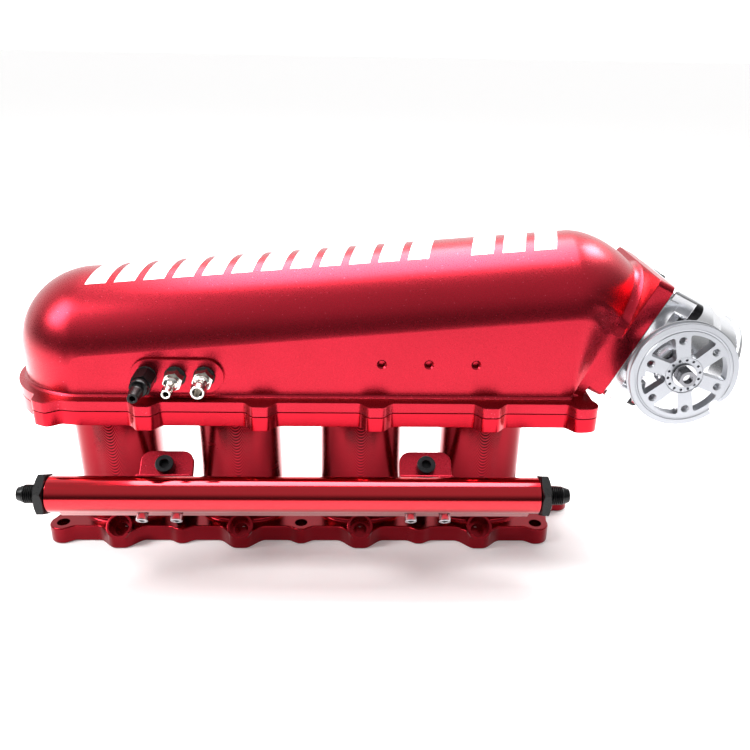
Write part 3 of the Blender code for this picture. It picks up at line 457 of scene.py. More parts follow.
def make_polished_red():
    """Noise stretched along the bar drives the roughness."""
    material, tree, shader = surface("red_anodised_polished", "B00A1C", 0.12, 1.0,
                                     Coat_Weight=0.6, Coat_Roughness=0.06)
    place = node(tree, "ShaderNodeTexCoord").outputs["Object"]
    streaks = (1 / STREAK_LENGTH, 1 / STREAK_WIDTH, 1 / STREAK_WIDTH)
    stretch = node(tree, "ShaderNodeMapping", {"Vector": place, "Scale": streaks})
    noise = node(tree, "ShaderNodeTexNoise", {"Vector": stretch.outputs["Vector"], "Scale": 1.0,
                                              "Detail": 2.0})
    rough = node(tree, "ShaderNodeMapRange", {"Value": noise.outputs["Fac"], **NOISE_SPAN,
                                              "To Min": 0.09, "To Max": 0.16})
    tree.links.new(rough.outputs["Result"], shader.inputs["Roughness"])
    return material


POLISHED_RED = make_polished_red()
print("made", POLISHED_RED.name)

# %% [markdown]
# ### The bare and black metals
#
# The throttle body is cast and machined, bare and bright. The cable wheel is satin. Fittings
# are black anodised or nickel plated, screws are black oxide steel, rail screws stainless.
# Each gets its own colour, gloss and grain.

# %% Silver, nickel, black
def make_grained(name, code, roughness, metallic, size_mm, depth_mm, spread, other=None, **extra):
    """An even grain drives roughness and bump; other is a second colour mixed in by the grain."""
    material, tree, shader = surface(name, code, roughness, metallic, **extra)
    place = node(tree, "ShaderNodeTexCoord").outputs["Object"]
    noise = node(tree, "ShaderNodeTexNoise", {"Vector": place, "Scale": 1000 / size_mm, "Detail": 3.0})
    fleck = noise.outputs["Fac"]
    rough = node(tree, "ShaderNodeMapRange", {"Value": fleck, **NOISE_SPAN,
                                              "To Min": roughness - spread, "To Max": roughness + spread})
    tree.links.new(rough.outputs["Result"], shader.inputs["Roughness"])
    bump = node(tree, "ShaderNodeBump", {"Height": fleck, "Distance": depth_mm * MM, "Strength": 1.0})
    tree.links.new(bump.outputs["Normal"], shader.inputs["Normal"])
    if other:
        ramp = node(tree, "ShaderNodeValToRGB", {"Fac": fleck})
        for stop, position, shade in zip(ramp.color_ramp.elements, (0.35, 0.65), (code, other)):
            stop.position = position
            stop.color = colour(shade)
        tree.links.new(ramp.outputs["Color"], shader.inputs["Base Color"])
    return material


# bright machined aluminium: light grey, medium gloss, very fine grain
CAST_ALUMINIUM = make_grained("machined_aluminium_bright", "D2D3D6", 0.24, 1.0, 0.5, 0.001, 0.02, "CDCED1")
# satin wheel: a little darker and softer than the body
SATIN_ALUMINIUM = make_grained("satin_aluminium", "A2A4A9", 0.32, 1.0, 0.5, 0.002, 0.03, "9A9CA1")
# nickel plate: slightly warm and glossier
NICKEL = make_grained("nickel_plate_bright", "D6D2CC", 0.18, 1.0, 2.0, 0.004, 0.05)
# plain turned steel, darker than the plated parts
TURNED_STEEL = make_grained("turned_steel", "77777B", 0.22, 1.0, 1.0, 0.003, 0.04)
# stainless screws, nearly mirrors
STAINLESS = make_grained("polished_stainless_steel", "B9B9BD", 0.13, 1.0, 3.0, 0.003, 0.04)
# black anodising over turned aluminium: dark metal under a clear skin
BLACK_ANODISED = make_grained("black_anodised_aluminium", "070708", 0.30, 0.3, 0.8, 0.004, 0.04,
                              Specular_IOR_Level=0.3)
# black oxide steel: dark, slightly oily sheen
BLACK_OXIDE = make_grained("black_oxide_steel", "121214", 0.34, 0.7, 0.8, 0.010, 0.08, "1C1C1F")
# moulded sensor housing: fine spark-eroded texture
MOULDED_BLACK = make_grained("moulded_black_plastic", "131315", 0.45, 0.0, 0.9, 0.030, 0.08)
# seals: soft, no gloss
SEAL_RUBBER = make_grained("seal_rubber", "0D0D0E", 0.65, 0.0, 0.6, 0.020, 0.06)
# paper gasket: grey fibre
GASKET_PAPER = make_grained("gasket_fibre", "55534F", 0.8, 0.0, 0.5, 0.040, 0.08, "67645F")
# printed bars on the plenum: matt white ink with a trace of the blasted grain under it
WHITE_INK = make_grained("white_ink", "F4F0F1", 0.5, 0.0, 0.7, 0.010, 0.06)
print("materials:", len(bpy.data.materials))

# %% [markdown]
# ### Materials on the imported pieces
#
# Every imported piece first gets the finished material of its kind. The ones that are small or
# plain enough keep their shape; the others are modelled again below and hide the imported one.

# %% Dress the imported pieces
KIND_OF_SLOT = {"red_anodised": BLASTED_RED, "polished_red": POLISHED_RED,
                "black_anodised": BLACK_ANODISED, "black_steel": BLACK_OXIDE,
                "machined_aluminium": CAST_ALUMINIUM, "nickel_plate": NICKEL,
                "stainless_steel": STAINLESS, "rubber": SEAL_RUBBER, "gasket": GASKET_PAPER,
                "black_plastic": MOULDED_BLACK}
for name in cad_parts:
    packed = bpy.data.objects.get(name)
    if packed is None or packed.type != "MESH":
        continue
    for slot in packed.material_slots:
        key = next((k for k in KIND_OF_SLOT if slot.material and k in slot.material.name), "red_anodised")
        slot.material = KIND_OF_SLOT[key]
print("dressed", len(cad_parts), "packed pieces")


# %% Helper that finishes a piece
def finish(obj, name, material, body, *nodes, smooth=35):
    """Name, material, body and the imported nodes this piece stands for."""
    choose(obj)
    obj.name = name
    obj.data.materials.clear()
    obj.data.materials.append(material)
    bpy.ops.object.shade_smooth_by_angle(angle=math.radians(smooth))
    apply_modifier(obj, "WEIGHTED_NORMAL", keep_sharp=True, weight=80)
    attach(obj, body)
    if nodes:
        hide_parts(*nodes)
    print(name, len(obj.data.polygons), "faces")


# %% [markdown]
# ## The plenum lid
#
# On the real part the lid is milled from one block: a flat flange with screw bosses, a
# straight wall, and a dome whose top falls towards the closed left end and swings over into
# the round throttle neck on the right. A half-tube is drawn as a grid wrapped over cross
# sections. The neck is the same grid carried on along a smooth curve to the circle of the
# throttle bore, so the top reflects light without a break.

# %% Plenum sizes
JOINT_TOP = 0.132
WALL_Y = 0.0555
DOME_R = 0.056
# the wall ends and the dome starts at this height on the left, and climbs by the rise per metre
CREASE_Z = 0.155
DOME_RISE = 0.089
# the round left end swings about this place, a little longer than it is wide
LEFT_X = -0.152
LEAN = 1.02
# straight sections end here and the neck curves on to the throttle plate
LOFT_X = 0.198
DROP = math.radians(27)
FACE = Vector((0.2445, 0, 0.1725))
BORE_AXIS = Vector((math.cos(DROP), 0, -math.sin(DROP)))
BORE_UP = Vector((math.sin(DROP), 0, math.cos(DROP)))
# throttle frame: X down the plate, Y across (towards the back), Z out along the bore
THROTTLE = Matrix(((-BORE_UP.x, 0, BORE_AXIS.x, FACE.x), (0, 1, 0, 0),
                   (-BORE_UP.z, 0, BORE_AXIS.z, FACE.z), (0, 0, 0, 1)))

# %% Cross sections of the plenum
ARC_STEPS = 64
FOOT_STEPS = 5
# points up one side of a section: the foot and three on the wall
SIDE_STEPS = FOOT_STEPS + 3


def plenum_section(x, radius, axis_z, swing=0.0, foot=0.003, low=JOINT_TOP - 0.001):
    """A closed section: fillet at the foot, upright wall, round top, and back down again."""
    half = max(0.0, min(radius * math.cos(swing), WALL_Y if foot else radius))
    size = max(0.0, radius * math.cos(swing))
    lift = math.acos(min(1.0, half / size)) if size > 0.0001 else 0.0
    side = []
    for k in range(FOOT_STEPS):
        bend = math.pi / 2 * k / (FOOT_STEPS - 1)
        out = foot * (1 - math.sin(bend))
        rise = foot * (1 - math.cos(bend)) if foot else 0.0006 * k
        z = JOINT_TOP + rise if k else low
        side.append((x - out * math.sin(swing), half + out * math.cos(swing), z))
    top_z = axis_z + size * math.sin(lift)
    start_z = side[-1][2]
    for part in (0.3, 0.6, 0.97):
        side.append((x, half, start_z + (top_z - start_z) * part))
    round_top = []
    for k in range(ARC_STEPS + 1):
        angle = lift + (math.pi - 2 * lift) * k / ARC_STEPS
        round_top.append((x, -size * math.cos(angle), axis_z + size * math.sin(angle)))
    front = [(px, -py, pz) for px, py, pz in side]
    return front + round_top + side[::-1]


print("points in a section:", len(plenum_section(LEFT_X, DOME_R, CREASE_Z)))


# %% Sections where the neck meets the throttle plate
NECK_WALL_Y = 0.0496
NECK_R = 0.0437
NECK_FILLET = 0.01066


def resample(points, count):
    """Spread count points evenly along a polyline."""
    lengths = [0.0]
    for a, b in zip(points, points[1:]):
        lengths.append(lengths[-1] + math.dist(a, b))
    wanted = np.linspace(0, lengths[-1], count)
    return list(zip(np.interp(wanted, lengths, [p[0] for p in points]),
                    np.interp(wanted, lengths, [p[1] for p in points])))


def neck_section(radius, out):
    """A circle standing on a wide foot, out along the bore; its points are (across, up)."""
    wall = NECK_WALL_Y
    first = math.degrees(math.asin(0.0155 / radius))
    flare = [(-wall, -0.002), (-wall * 0.35 - radius * 0.62, 0.005), (-radius - 0.0008, 0.0105)]
    circle = arc(0, 0, radius, 180 - first, first, 48)
    left = resample(flare + circle[:1], 9)[:-1]
    round_top = left + circle + [(-y, up) for y, up in left[::-1]]
    side = []
    for k in range(SIDE_STEPS):
        foot = 0.003 * (1 - math.sin(math.pi / 2 * min(k, 4) / 4))
        up = -0.055 + 0.048 * (max(0, k - 3) / (SIDE_STEPS - 4)) + 0.0006 * min(k, 3)
        side.append((-wall - foot, up))
    flat = side + round_top + [(-y, up) for y, up in side[::-1]]
    return [THROTTLE @ Vector((-up, y, out)) for y, up in flat]


def fillet_neck():
    """Sections round the fillet that opens the neck towards the plate."""
    ends = []
    for k in range(7):
        bend = math.radians(42.5) * k / 6
        ends.append(neck_section(NECK_R + NECK_FILLET * (1 - math.cos(bend)),
                                 -0.020 + NECK_FILLET * math.sin(bend)))
    return ends


print("points in a neck section:", len(neck_section(NECK_R, 0)))


# %% Wrap the plenum
def curve_to(start, end, t):
    """A point at t on the smooth curve from the last straight section to the first of the neck."""
    reach = (end - start).length * 0.92
    lead = Vector((1, 0, DOME_RISE if start.z > JOINT_TOP + 0.004 else 0)) * reach
    side = end - FACE
    side -= BORE_AXIS * side.dot(BORE_AXIS)
    inward = -side.normalized() * max(0.0, min(1.0, (NECK_WALL_Y - abs(end.y)) / 0.006))
    # the foot runs straight to its place, the top arrives along the bore
    blend = min(1.0, max(0.0, (end.z - 0.135) / 0.035))
    smooth = blend * blend * (3 - 2 * blend)
    trail = (end - start).lerp((BORE_AXIS * 0.95 + inward * 0.31) * reach, smooth)
    return ((2 * t**3 - 3 * t**2 + 1) * start + (t**3 - 2 * t**2 + t) * lead
            + (3 * t**2 - 2 * t**3) * end + (t**3 - t**2) * trail)


def plenum_rows(radius, ends, foot, low):
    """All sections from the pole at the left end to the throttle plate."""
    rows = []
    for k in range(18):
        swing = math.radians(90 - 5 * k)
        x = LEFT_X - radius * LEAN * math.sin(swing)
        rows.append(plenum_section(x, radius, CREASE_Z, swing, foot, low))
    for x in np.linspace(LEFT_X, LOFT_X, 25):
        rows.append(plenum_section(x, radius, CREASE_Z + DOME_RISE * (x - LEFT_X), 0.0, foot, low))
    straight = [Vector(p) for p in rows[-1]]
    for k in range(1, 15):
        rows.append([curve_to(p, q, k / 14) for p, q in zip(straight, ends[0])])
    return rows + ends[1:]


lid = skin("plenum_body", plenum_rows(DOME_R, fillet_neck(), 0.003, JOINT_TOP - 0.001))
print("plenum body", len(lid.data.polygons), "faces")

# %% [markdown]
# ### Flange, throttle plate and pad
#
# The flange follows the plenum and swells at every screw, like the real one, so the outline
# is drawn with a smooth bump at each boss. Its edges carry a small machined chamfer. The
# plate at the neck is square with small corner radii. The pad for the hose fittings is a
# raised stadium on the front wall.

# %% Flange outline
FLANGE_HALF = 0.065
FLANGE_RIGHT = 0.214
FLANGE_CORNER = 0.008
BOSS_XS = (-0.107, -0.025, 0.057, 0.139, 0.206)
BOSS_SWELL = 0.008
# the left end is a little shorter than it is wide, with two bosses at this angle
END_SHARE = 0.965
END_ANGLE = math.radians(65)


def swell(distance, flat, reach):
    """A smooth bump, one inside flat and zero beyond reach."""
    t = min(1.0, max(0.0, (distance - flat) / (reach - flat)))
    return 0.5 + 0.5 * math.cos(math.pi * t)


def boss_centres():
    """Two screws on the round end and a pair at each place along the sides."""
    end_x = LEFT_X - FLANGE_HALF * END_SHARE * math.cos(END_ANGLE)
    ends = [(end_x, side * FLANGE_HALF * math.sin(END_ANGLE)) for side in (-1, 1)]
    return ends + [(x, side * FLANGE_HALF) for x in BOSS_XS for side in (-1, 1)]


def flange_outline():
    """Points with outward directions, pushed out at each boss."""
    half, corner = FLANGE_HALF, FLANGE_CORNER
    start = FLANGE_RIGHT - corner
    path = [(x, -half, 0, -1) for x in np.linspace(LEFT_X, start, 300)]
    for nx, ny in arc(0, 0, 1, -90, 0, 8)[1:]:
        path.append((start + corner * nx, -half + corner + corner * ny, nx, ny))
    path += [(x, -y, nx, -ny) for x, y, nx, ny in path[::-1]]
    for k in range(1, 120):
        a = math.pi * (0.5 + k / 120)
        path.append((LEFT_X + half * END_SHARE * math.cos(a), half * math.sin(a), math.cos(a), math.sin(a)))
    outline = []
    for x, y, nx, ny in path:
        near = max(swell(math.hypot(x - cx, y - cy), 0.004, 0.013) for cx, cy in boss_centres())
        outline.append((x + nx * near * BOSS_SWELL, y + ny * near * BOSS_SWELL))
    return outline


print("bosses:", len(boss_centres()), "points in the outline:", len(flange_outline()))

# %% Weld the flange, throttle plate and pad to the plenum
PAD_Z = 0.149
PAD_TOP = 0.003
flange = outline_plate("lid_flange", flange_outline(), 0.1243, JOINT_TOP)
bevel(flange, 0.0004, 2, 40)
plate = outline_plate("throttle_plate", rounded_rectangle(0.047, 0.049, 0.0045, 6), -0.013, 0, THROTTLE)
bevel(plate, 0.0007, 2, 40)
pad_place = Matrix.Translation((-0.084, -WALL_Y, PAD_Z)) @ Matrix.Rotation(math.pi / 2, 4, "X")
pad = outline_plate("vacuum_pad", rounded_rectangle(0.033, 0.0127, 0.0126, 14), -0.004, PAD_TOP, pad_place)
bevel(pad, 0.0005, 2, 40)
join(lid, flange, plate, pad)
print("plenum with flange", len(lid.data.polygons), "faces")

# %% [markdown]
# ### Hollow, bore and tapped holes
#
# The inside is cut out after the outside is whole, as on the mill. A smaller copy of the
# same wrapped shape leaves a 6 mm wall; a rod opens the throttle bore. The three tapped
# holes on the front wall get a small countersink that catches the light.

# %% Hollow the lid
LID_WALL = 0.006
# the hollow ends in part of a circle inside the bore, with one point for each point of a section
circle_end = []
for a in np.linspace(math.radians(-22.5), math.radians(202.5), 2 * SIDE_STEPS + ARC_STEPS + 1):
    circle_end.append(THROTTLE @ Vector((-0.038 * math.sin(a), -0.038 * math.cos(a), -0.030)))
hollow = skin("plenum_hollow", plenum_rows(DOME_R - LID_WALL, [circle_end], 0.0, 0.1213))
bore = cylinder("neck_bore", 0.0376, -0.046, 0.004, THROTTLE, 64)
cut(lid, hollow, bore)
print("hollow lid", len(lid.data.polygons), "faces")

# %% Drill the lid
FRONT = Matrix.Translation((0, -WALL_Y, 0)) @ Matrix.Rotation(math.pi / 2, 4, "X")
TAPPED_XS = (0.061, 0.0947, 0.1285)
TAPPED_Z = 0.158
FITTING_XS = (-0.1057, -0.0852, -0.0647)
drills = []
for x in TAPPED_XS:
    drills.append(cylinder("tapping", 0.0026, -0.0045, 0.004, FRONT, 24, at=(x, TAPPED_Z)))
for x in FITTING_XS:
    drills.append(cylinder("fitting_hole", 0.0053, -0.0095, 0.006, FRONT, 24, at=(x, PAD_Z)))
cut(lid, gather("lid_drills", drills))
sinks = []
for x in TAPPED_XS:
    sinks.append(cylinder("countersink", 0.0026, -0.0010, 0.0002, FRONT, 24, at=(x, TAPPED_Z), top=0.0038))
cut(lid, gather("countersinks", sinks))
finish(lid, "plenum_lid_finished", BLASTED_RED, "manifold", "plenum_lid", smooth=30)

# %% [markdown]
# ### White bars
#
# The real plenum carries a maker's lettering, which is left out. A row of plain slanted bars
# in white ink fills the same band, so the top keeps its rhythm. Each bar is a small grid laid
# on the dome and given a hair of thickness.

# %% White bars
# (left edge, width) of a long row and, after a gap, a short row
BARS = [(-0.152 + 0.0210 * k, 0.0150) for k in range(12)]
BARS += [(0.124 + 0.0225 * k, 0.0160) for k in range(3)]
BAR_LOW = math.radians(64)
BAR_HIGH = math.radians(116)
SLANT = 0.010
INK_THICKNESS = 0.0002
INK_R = DOME_R + 0.00012
bars = []
for left, width in BARS:
    clear()
    bpy.ops.mesh.primitive_grid_add(x_subdivisions=8, y_subdivisions=16, size=2)
    bar = bpy.context.object
    for vertex in bar.data.vertices:
        across = (vertex.co.x + 1) / 2
        up = (vertex.co.y + 1) / 2
        x = left + width * across + SLANT * up
        angle = BAR_LOW + (BAR_HIGH - BAR_LOW) * up
        axis_z = CREASE_Z + DOME_RISE * (x - LEFT_X)
        vertex.co = (x, -INK_R * math.cos(angle), axis_z + INK_R * math.sin(angle))
    apply_modifier(bar, "SOLIDIFY", thickness=INK_THICKNESS, offset=0.0)
    bars.append(bar)
bars = gather("white_bars", bars)
finish(bars, "plenum_white_bars", WHITE_INK, "manifold", smooth=40)

# %% [markdown]
# ## The runner base
#
# Head flange, four oval runners and the lower joint flange are one block of metal. The
# runners are wrapped from oval sections that widen upwards, with a fillet where they leave
# the head flange and where they meet the joint flange. The stepped finish of the ball cutter
# is in the material. Bosses for the injectors lean forward out of the foot of each runner.

# %% Runner base sizes
PORTS = [PORT_PITCH * k for k in (-1.5, -0.5, 0.5, 1.5)]
HEAD_BOLTS = [PORT_PITCH * k for k in (-2, -1, 0, 1, 2)]
POST_XS = (-PORT_PITCH, PORT_PITCH)
HEAD_TOP = 0.014
HEAD_FRONT = -0.0446
# underside and top of the lower joint flange
JOINT_LOW = 0.113
BASE_TOP = 0.1240
FILLET_LOW = 0.0035
FILLET_HIGH = 0.003
TILT = math.radians(40)
# rail frame: X along the rail, Y = minus b, Z = a, the way the injectors point
RAIL = Matrix.Rotation(TILT, 4, "X")
# distance b of the injectors and of the bracket posts
INJECTOR_B = 0.027
POST_B = 0.0018


# %% Shapes of the runner base
def rail_rod(name, radius, x, b, low, high, sides=32):
    """A rod that leans forward like the injectors, from low to high along a."""
    return cylinder(name, radius, low, high, RAIL, sides, at=(x, -b))


def runner_oval(x, z, grow=0.0, count=72):
    """The squarish oval of a runner at a height: it widens and leans forward as it climbs."""
    t = z / BASE_TOP
    half_x = 0.0317 + grow
    half_y = 0.022 + 0.006 * t + grow
    y = -0.016 - 0.004 * t
    row = []
    for k in range(count):
        a = math.tau * k / count
        c, s = math.cos(a), math.sin(a)
        row.append((x + half_x * math.copysign(abs(c) ** (2 / 2.6), c),
                    y + half_y * math.copysign(abs(s) ** (2 / 2.6), s), z))
    return row


def runner_rows(x):
    """Sections from inside the head flange to inside the joint flange, filleted at both ends."""
    bends = [math.pi / 2 * k / 5 for k in range(6)]
    rows = [runner_oval(x, HEAD_TOP - 0.001, FILLET_LOW)]
    for bend in bends:
        z = HEAD_TOP + FILLET_LOW * (1 - math.cos(bend))
        rows.append(runner_oval(x, z, FILLET_LOW * (1 - math.sin(bend))))
    rows += [runner_oval(x, z) for z in np.linspace(0.024, 0.104, 9)]
    for bend in bends:
        z = JOINT_LOW - FILLET_HIGH * (1 - math.sin(bend))
        rows.append(runner_oval(x, z, FILLET_HIGH * (1 - math.cos(bend))))
    rows.append(runner_oval(x, JOINT_LOW + 0.0015, FILLET_HIGH))
    return rows


def head_outline():
    """The head flange: a wavy front with a bump at each bolt and injector, and round ears."""
    ear = HEAD_FRONT + 0.0061
    first, last = HEAD_BOLTS[0], HEAD_BOLTS[-1]
    path = arc(first, ear, 0.0105, 145, 270, 16)
    for x in np.linspace(first, last, 300)[1:-1]:
        at_bolt = max(swell(abs(x - c), 0.001, 0.011) for c in HEAD_BOLTS)
        at_injector = max(swell(abs(x - c), 0.003, 0.019) for c in PORTS)
        path.append((x, HEAD_FRONT - 0.0044 * at_bolt - 0.0106 * at_injector))
    path += arc(last, ear, 0.0105, 270, 375, 14)
    path += [(0.1995, -0.028), (0.2010, -0.021), (0.2025, -0.014), (0.2060, -0.005)]
    path += arc(0.2155, 0.0092, 0.0103, -105, 90, 20)
    return path + arc(-0.168, 0.0075, 0.012, 90, 180, 10)


print("sections of a runner:", len(runner_rows(0)), "points in the head outline:", len(head_outline()))

# %% Weld the runner base
base = outline_plate("runner_base_body", head_outline(), 0.0, HEAD_TOP)
bevel(base, 0.0012, 3, 40)
joint = outline_plate("joint_flange", flange_outline(), JOINT_LOW, BASE_TOP)
bevel(joint, 0.0004, 2, 40)
parts = [skin("runner", runner_rows(x)) for x in PORTS]
bosses = []
for x in PORTS:
    boss = rail_rod("injector_boss", 0.0103, x, INJECTOR_B, 0.020, 0.0465, 48)
    bevel(boss, 0.0008, 2, 40)
    bosses.append(boss)
for x in POST_XS:
    post = rail_rod("rail_post", 0.0085, x, POST_B, 0.012, 0.1037, 40)
    bosses.append(bevel(post, 0.0006, 2, 40))
join(base, joint, *parts)
join(base, *bosses)
cut(base, box("below_face", (-0.25, -0.12, -0.05), (0.25, 0.08, 0.0)),
    box("front_trim", (-0.17, -0.08, -0.01), (0.17, HEAD_FRONT - 0.0107, 0.016)))
print("runner base", len(base.data.polygons), "faces")

# %% Ports, injector seats and bolt holes
HEAD_BOLT_Y = -0.0395
REAR_BOLTS = ((-PORT_PITCH, 0.010), (0.0, 0.010), (PORT_PITCH, 0.010), (0.2155, 0.0092))
ports = []
for x in PORTS:
    rows = [runner_oval(x, z, -0.005) for z in (-0.002, 0.03, 0.06, 0.09, JOINT_LOW)]
    ports.append(skin("port", rows + [runner_oval(x, 0.126, -0.002)]))
cut(base, gather("ports", ports))
seats = [rail_rod("seat", 0.0082, x, INJECTOR_B, 0.0365, 0.060, 40) for x in PORTS]
drills = [rail_rod("injector_bore", 0.0053, x, INJECTOR_B, 0.026, 0.050, 32) for x in PORTS]
for place in [(x, HEAD_BOLT_Y) for x in HEAD_BOLTS] + list(REAR_BOLTS):
    drills.append(cylinder("head_bolt", 0.005, -0.002, 0.016, at=place))
cut(base, gather("seats", seats), gather("base_drills", drills))
# the joint screws come from below and sit in counterbores
counterbores = [cylinder("counterbore", 0.0053, 0.108, 0.1190, at=p) for p in boss_centres()]
cut(base, gather("counterbores", counterbores))
finish(base, "runner_base_finished", MACHINED_RED, "manifold", "runner_base", smooth=30)

# %% [markdown]
# ## Screws
#
# All screws are socket-head cap screws: a drum with a rounded rim and a hexagon socket. One
# is modelled for each size and copied with its own mesh to every place.

# %% Cap screw heads
def cap_head(name, radius, height, socket_flats, depth):
    """A head standing on z = 0 with its socket at the top and a short shank below."""
    head = cylinder(name, radius, 0.0, height, sides=48)
    bevel(head, radius * 0.11, 3, 40)
    shank = cylinder("shank", radius * 0.58, -radius * 1.2, 0.0005, sides=24)
    join(head, shank)
    socket = outline_plate("socket", hexagon(socket_flats, 12), height - depth, height + 0.002)
    lead_in = cylinder("lead_in", socket_flats * 0.50, height - 0.0005, height + 0.0001, sides=32,
                       top=socket_flats * 0.60)
    cut(head, socket)
    cut(head, lead_in)
    return head


def copy_to(source, name, place):
    """A copy with its own mesh, moved to its place."""
    choose(source)
    bpy.ops.object.duplicate()
    twin = bpy.context.object
    twin.name = name
    return put(twin, place)


def rail_place(x, a, b, along=True):
    """Frame on the rail: local Z runs along a, or along b when along is false."""
    turn = Matrix() if along else Matrix.Rotation(math.pi / 2, 4, "X")
    return RAIL @ Matrix.Translation((x, -b, a)) @ turn


# %% Screws in their places
SIDES = (("left", POST_XS[0]), ("right", POST_XS[1]))
RAIL_SCREW_SPREAD = 0.012
CORNERS = [(sx, sy) for sx in (-1, 1) for sy in (-1, 1)]
# throttle screws stand this far to either side of the bore
CORNER = 0.038
bracket_head = cap_head("bracket_head", 0.0067, 0.0080, 0.0060, 0.0045)
rail_head = cap_head("rail_head", 0.0042, 0.0050, 0.0040, 0.0028)
throttle_head = cap_head("throttle_head", 0.0066, 0.0080, 0.0060, 0.0045)
for side, x in SIDES:
    bolt = copy_to(bracket_head, "bolt", rail_place(x, 0.1103, POST_B))
    finish(bolt, f"bracket_bolt_{side}_finished", BLACK_OXIDE, "manifold", f"bracket_bolt_{side}")
screw_xs = [x + d for x in POST_XS for d in (-RAIL_SCREW_SPREAD, RAIL_SCREW_SPREAD)]
for number, x in enumerate(screw_xs, 1):
    screw = copy_to(rail_head, "screw", rail_place(x, 0.1125, 0.0376, along=False))
    finish(screw, f"rail_screw_{number}_finished", STAINLESS, "manifold", f"rail_screw_{number}")
for number, (sx, sy) in enumerate(CORNERS, 1):
    place = THROTTLE @ Matrix.Translation((sx * CORNER, sy * CORNER, 0.0223))
    screw = copy_to(throttle_head, "screw", place)
    finish(screw, f"throttle_bolt_{number}_finished", BLACK_OXIDE, "manifold", f"throttle_bolt_{number}")
for spare in (bracket_head, rail_head, throttle_head):
    bpy.data.objects.remove(spare)

# %% [markdown]
# ## The fuel rail
#
# The rail is an extruded bar: a round tube with a square foot that holds the injector cups,
# polished and dyed. It is a rod and a block joined, with the cups bored from below. Black
# union fittings screw into both ends.

# %% Fuel rail
RAIL_LEFT = -0.1670
RAIL_RIGHT = 0.1703
RAIL_R = 0.0125
# middle of the tube
RAIL_A = 0.128
RAIL_B = 0.028
TUBE = RAIL @ Matrix.Translation((0, -RAIL_B, RAIL_A)) @ Matrix.Rotation(math.pi / 2, 4, "Y")
rail = cylinder("rail_tube", RAIL_R, RAIL_LEFT, RAIL_RIGHT, TUBE, 96)
bevel(rail, 0.0006, 2, 60)
foot = box("rail_foot", (-0.164, -0.0373, 0.1075), (0.1663, -0.0187, RAIL_A), RAIL)
bevel(foot, 0.0010, 3, 40)
join(rail, foot)
cups = [rail_rod("cup", 0.0070, x, INJECTOR_B, 0.100, 0.1175, 40) for x in PORTS]
cups.append(cylinder("rail_bore", 0.0075, -0.2, 0.2, TUBE, 32))
cut(rail, gather("rail_drills", cups))
finish(rail, "fuel_rail_finished", POLISHED_RED, "manifold", "fuel_rail", smooth=30)

# %% Rail brackets
HALF_BRACKET = 0.019
BRACKET_R = 0.008
for side, x in SIDES:
    outline = [(x - HALF_BRACKET, -0.0184), (x + HALF_BRACKET, -0.0184)]
    outline += arc(x + HALF_BRACKET - BRACKET_R, 0.003, BRACKET_R, 0, 90, 10)
    outline += arc(x - HALF_BRACKET + BRACKET_R, 0.003, BRACKET_R, 90, 180, 10)
    bracket = outline_plate("bracket", outline, 0.1040, 0.1100, RAIL)
    bevel(bracket, 0.0006, 2, 40)
    upright = box("upright", (x - HALF_BRACKET, -0.0183, 0.1045), (x + HALF_BRACKET, -0.0100, 0.1185), RAIL)
    bevel(upright, 0.0006, 2, 40)
    join(bracket, upright)
    cut(bracket, rail_rod("bolt_hole", 0.0043, x, POST_B, 0.1, 0.115, 32))
    finish(bracket, f"rail_bracket_{side}_finished", BLASTED_RED, "manifold", f"rail_bracket_{side}")

# %% [markdown]
# ### Union fittings
#
# A turned body with a screw thread and a blunt cone, and a hexagon with chamfered corners.
# The thread is drawn as a row of ridges on the lathe profile.

# %% Rail fittings
def chamfered_hexagon(name, flats, low, high, turn=0.0, place=None):
    """A hexagon whose corners are cut back by a cone at both ends."""
    body = outline_plate(name, hexagon(flats, turn), low, high)
    corner = flats / math.sqrt(3)
    drop = (corner - flats / 2) * 0.62
    drum = turned("chamfer_drum", [(flats * 0.475, low - 0.0001), (corner + 0.0002, low + drop),
                                   (corner + 0.0002, high - drop), (flats * 0.475, high + 0.0001)], sides=64)
    apply_modifier(body, "BOOLEAN", operation="INTERSECT", object=drum, solver="EXACT")
    bpy.data.objects.remove(drum)
    return put(body, place or Matrix())


def threaded(low, high, outer, inner, pitch):
    """Ridges for a lathe profile."""
    count = int((high - low) / pitch)
    points = []
    for k in range(count):
        z = low + k * pitch
        points += [(inner, z), (outer, z + pitch * 0.4), (outer, z + pitch * 0.6)]
    return points + [(inner, low + count * pitch)]


print("points in the thread:", len(threaded(0.0078, 0.0170, 0.0066, 0.0060, 0.0013)))

# %% Unions at both ends of the rail
for side, x, sign in (("left", RAIL_LEFT, -1), ("right", RAIL_RIGHT, 1)):
    place = RAIL @ Matrix.Translation((x, -RAIL_B, RAIL_A)) @ Matrix.Rotation(sign * math.pi / 2, 4, "Y")
    profile = [(0.0040, -0.0120), (0.0072, -0.0120), (0.0072, 0.0072)]
    profile += threaded(0.0078, 0.0170, 0.0066, 0.0060, 0.0013)
    profile += [(0.0060, 0.0176), (0.0057, 0.0184), (0.0048, 0.0212), (0.0045, 0.0215), (0.0040, 0.0215),
                (0.0038, 0.0205)]
    body = turned("union", profile, place, 48, ring=True)
    flats = chamfered_hexagon("union_hexagon", 0.027, 0.0003, 0.0068, 22 * sign, place)
    fitting = gather("union", [body, flats])
    finish(fitting, f"rail_fitting_{side}_finished", BLACK_ANODISED, "manifold", f"rail_fitting_{side}")

# %% [markdown]
# ## Hose fittings on the pad
#
# Three different hose fittings screw into the pad: a black one with a plastic check valve
# shape and two nickel ones with barbs. Each is turned, with a chamfered hexagon at its foot.

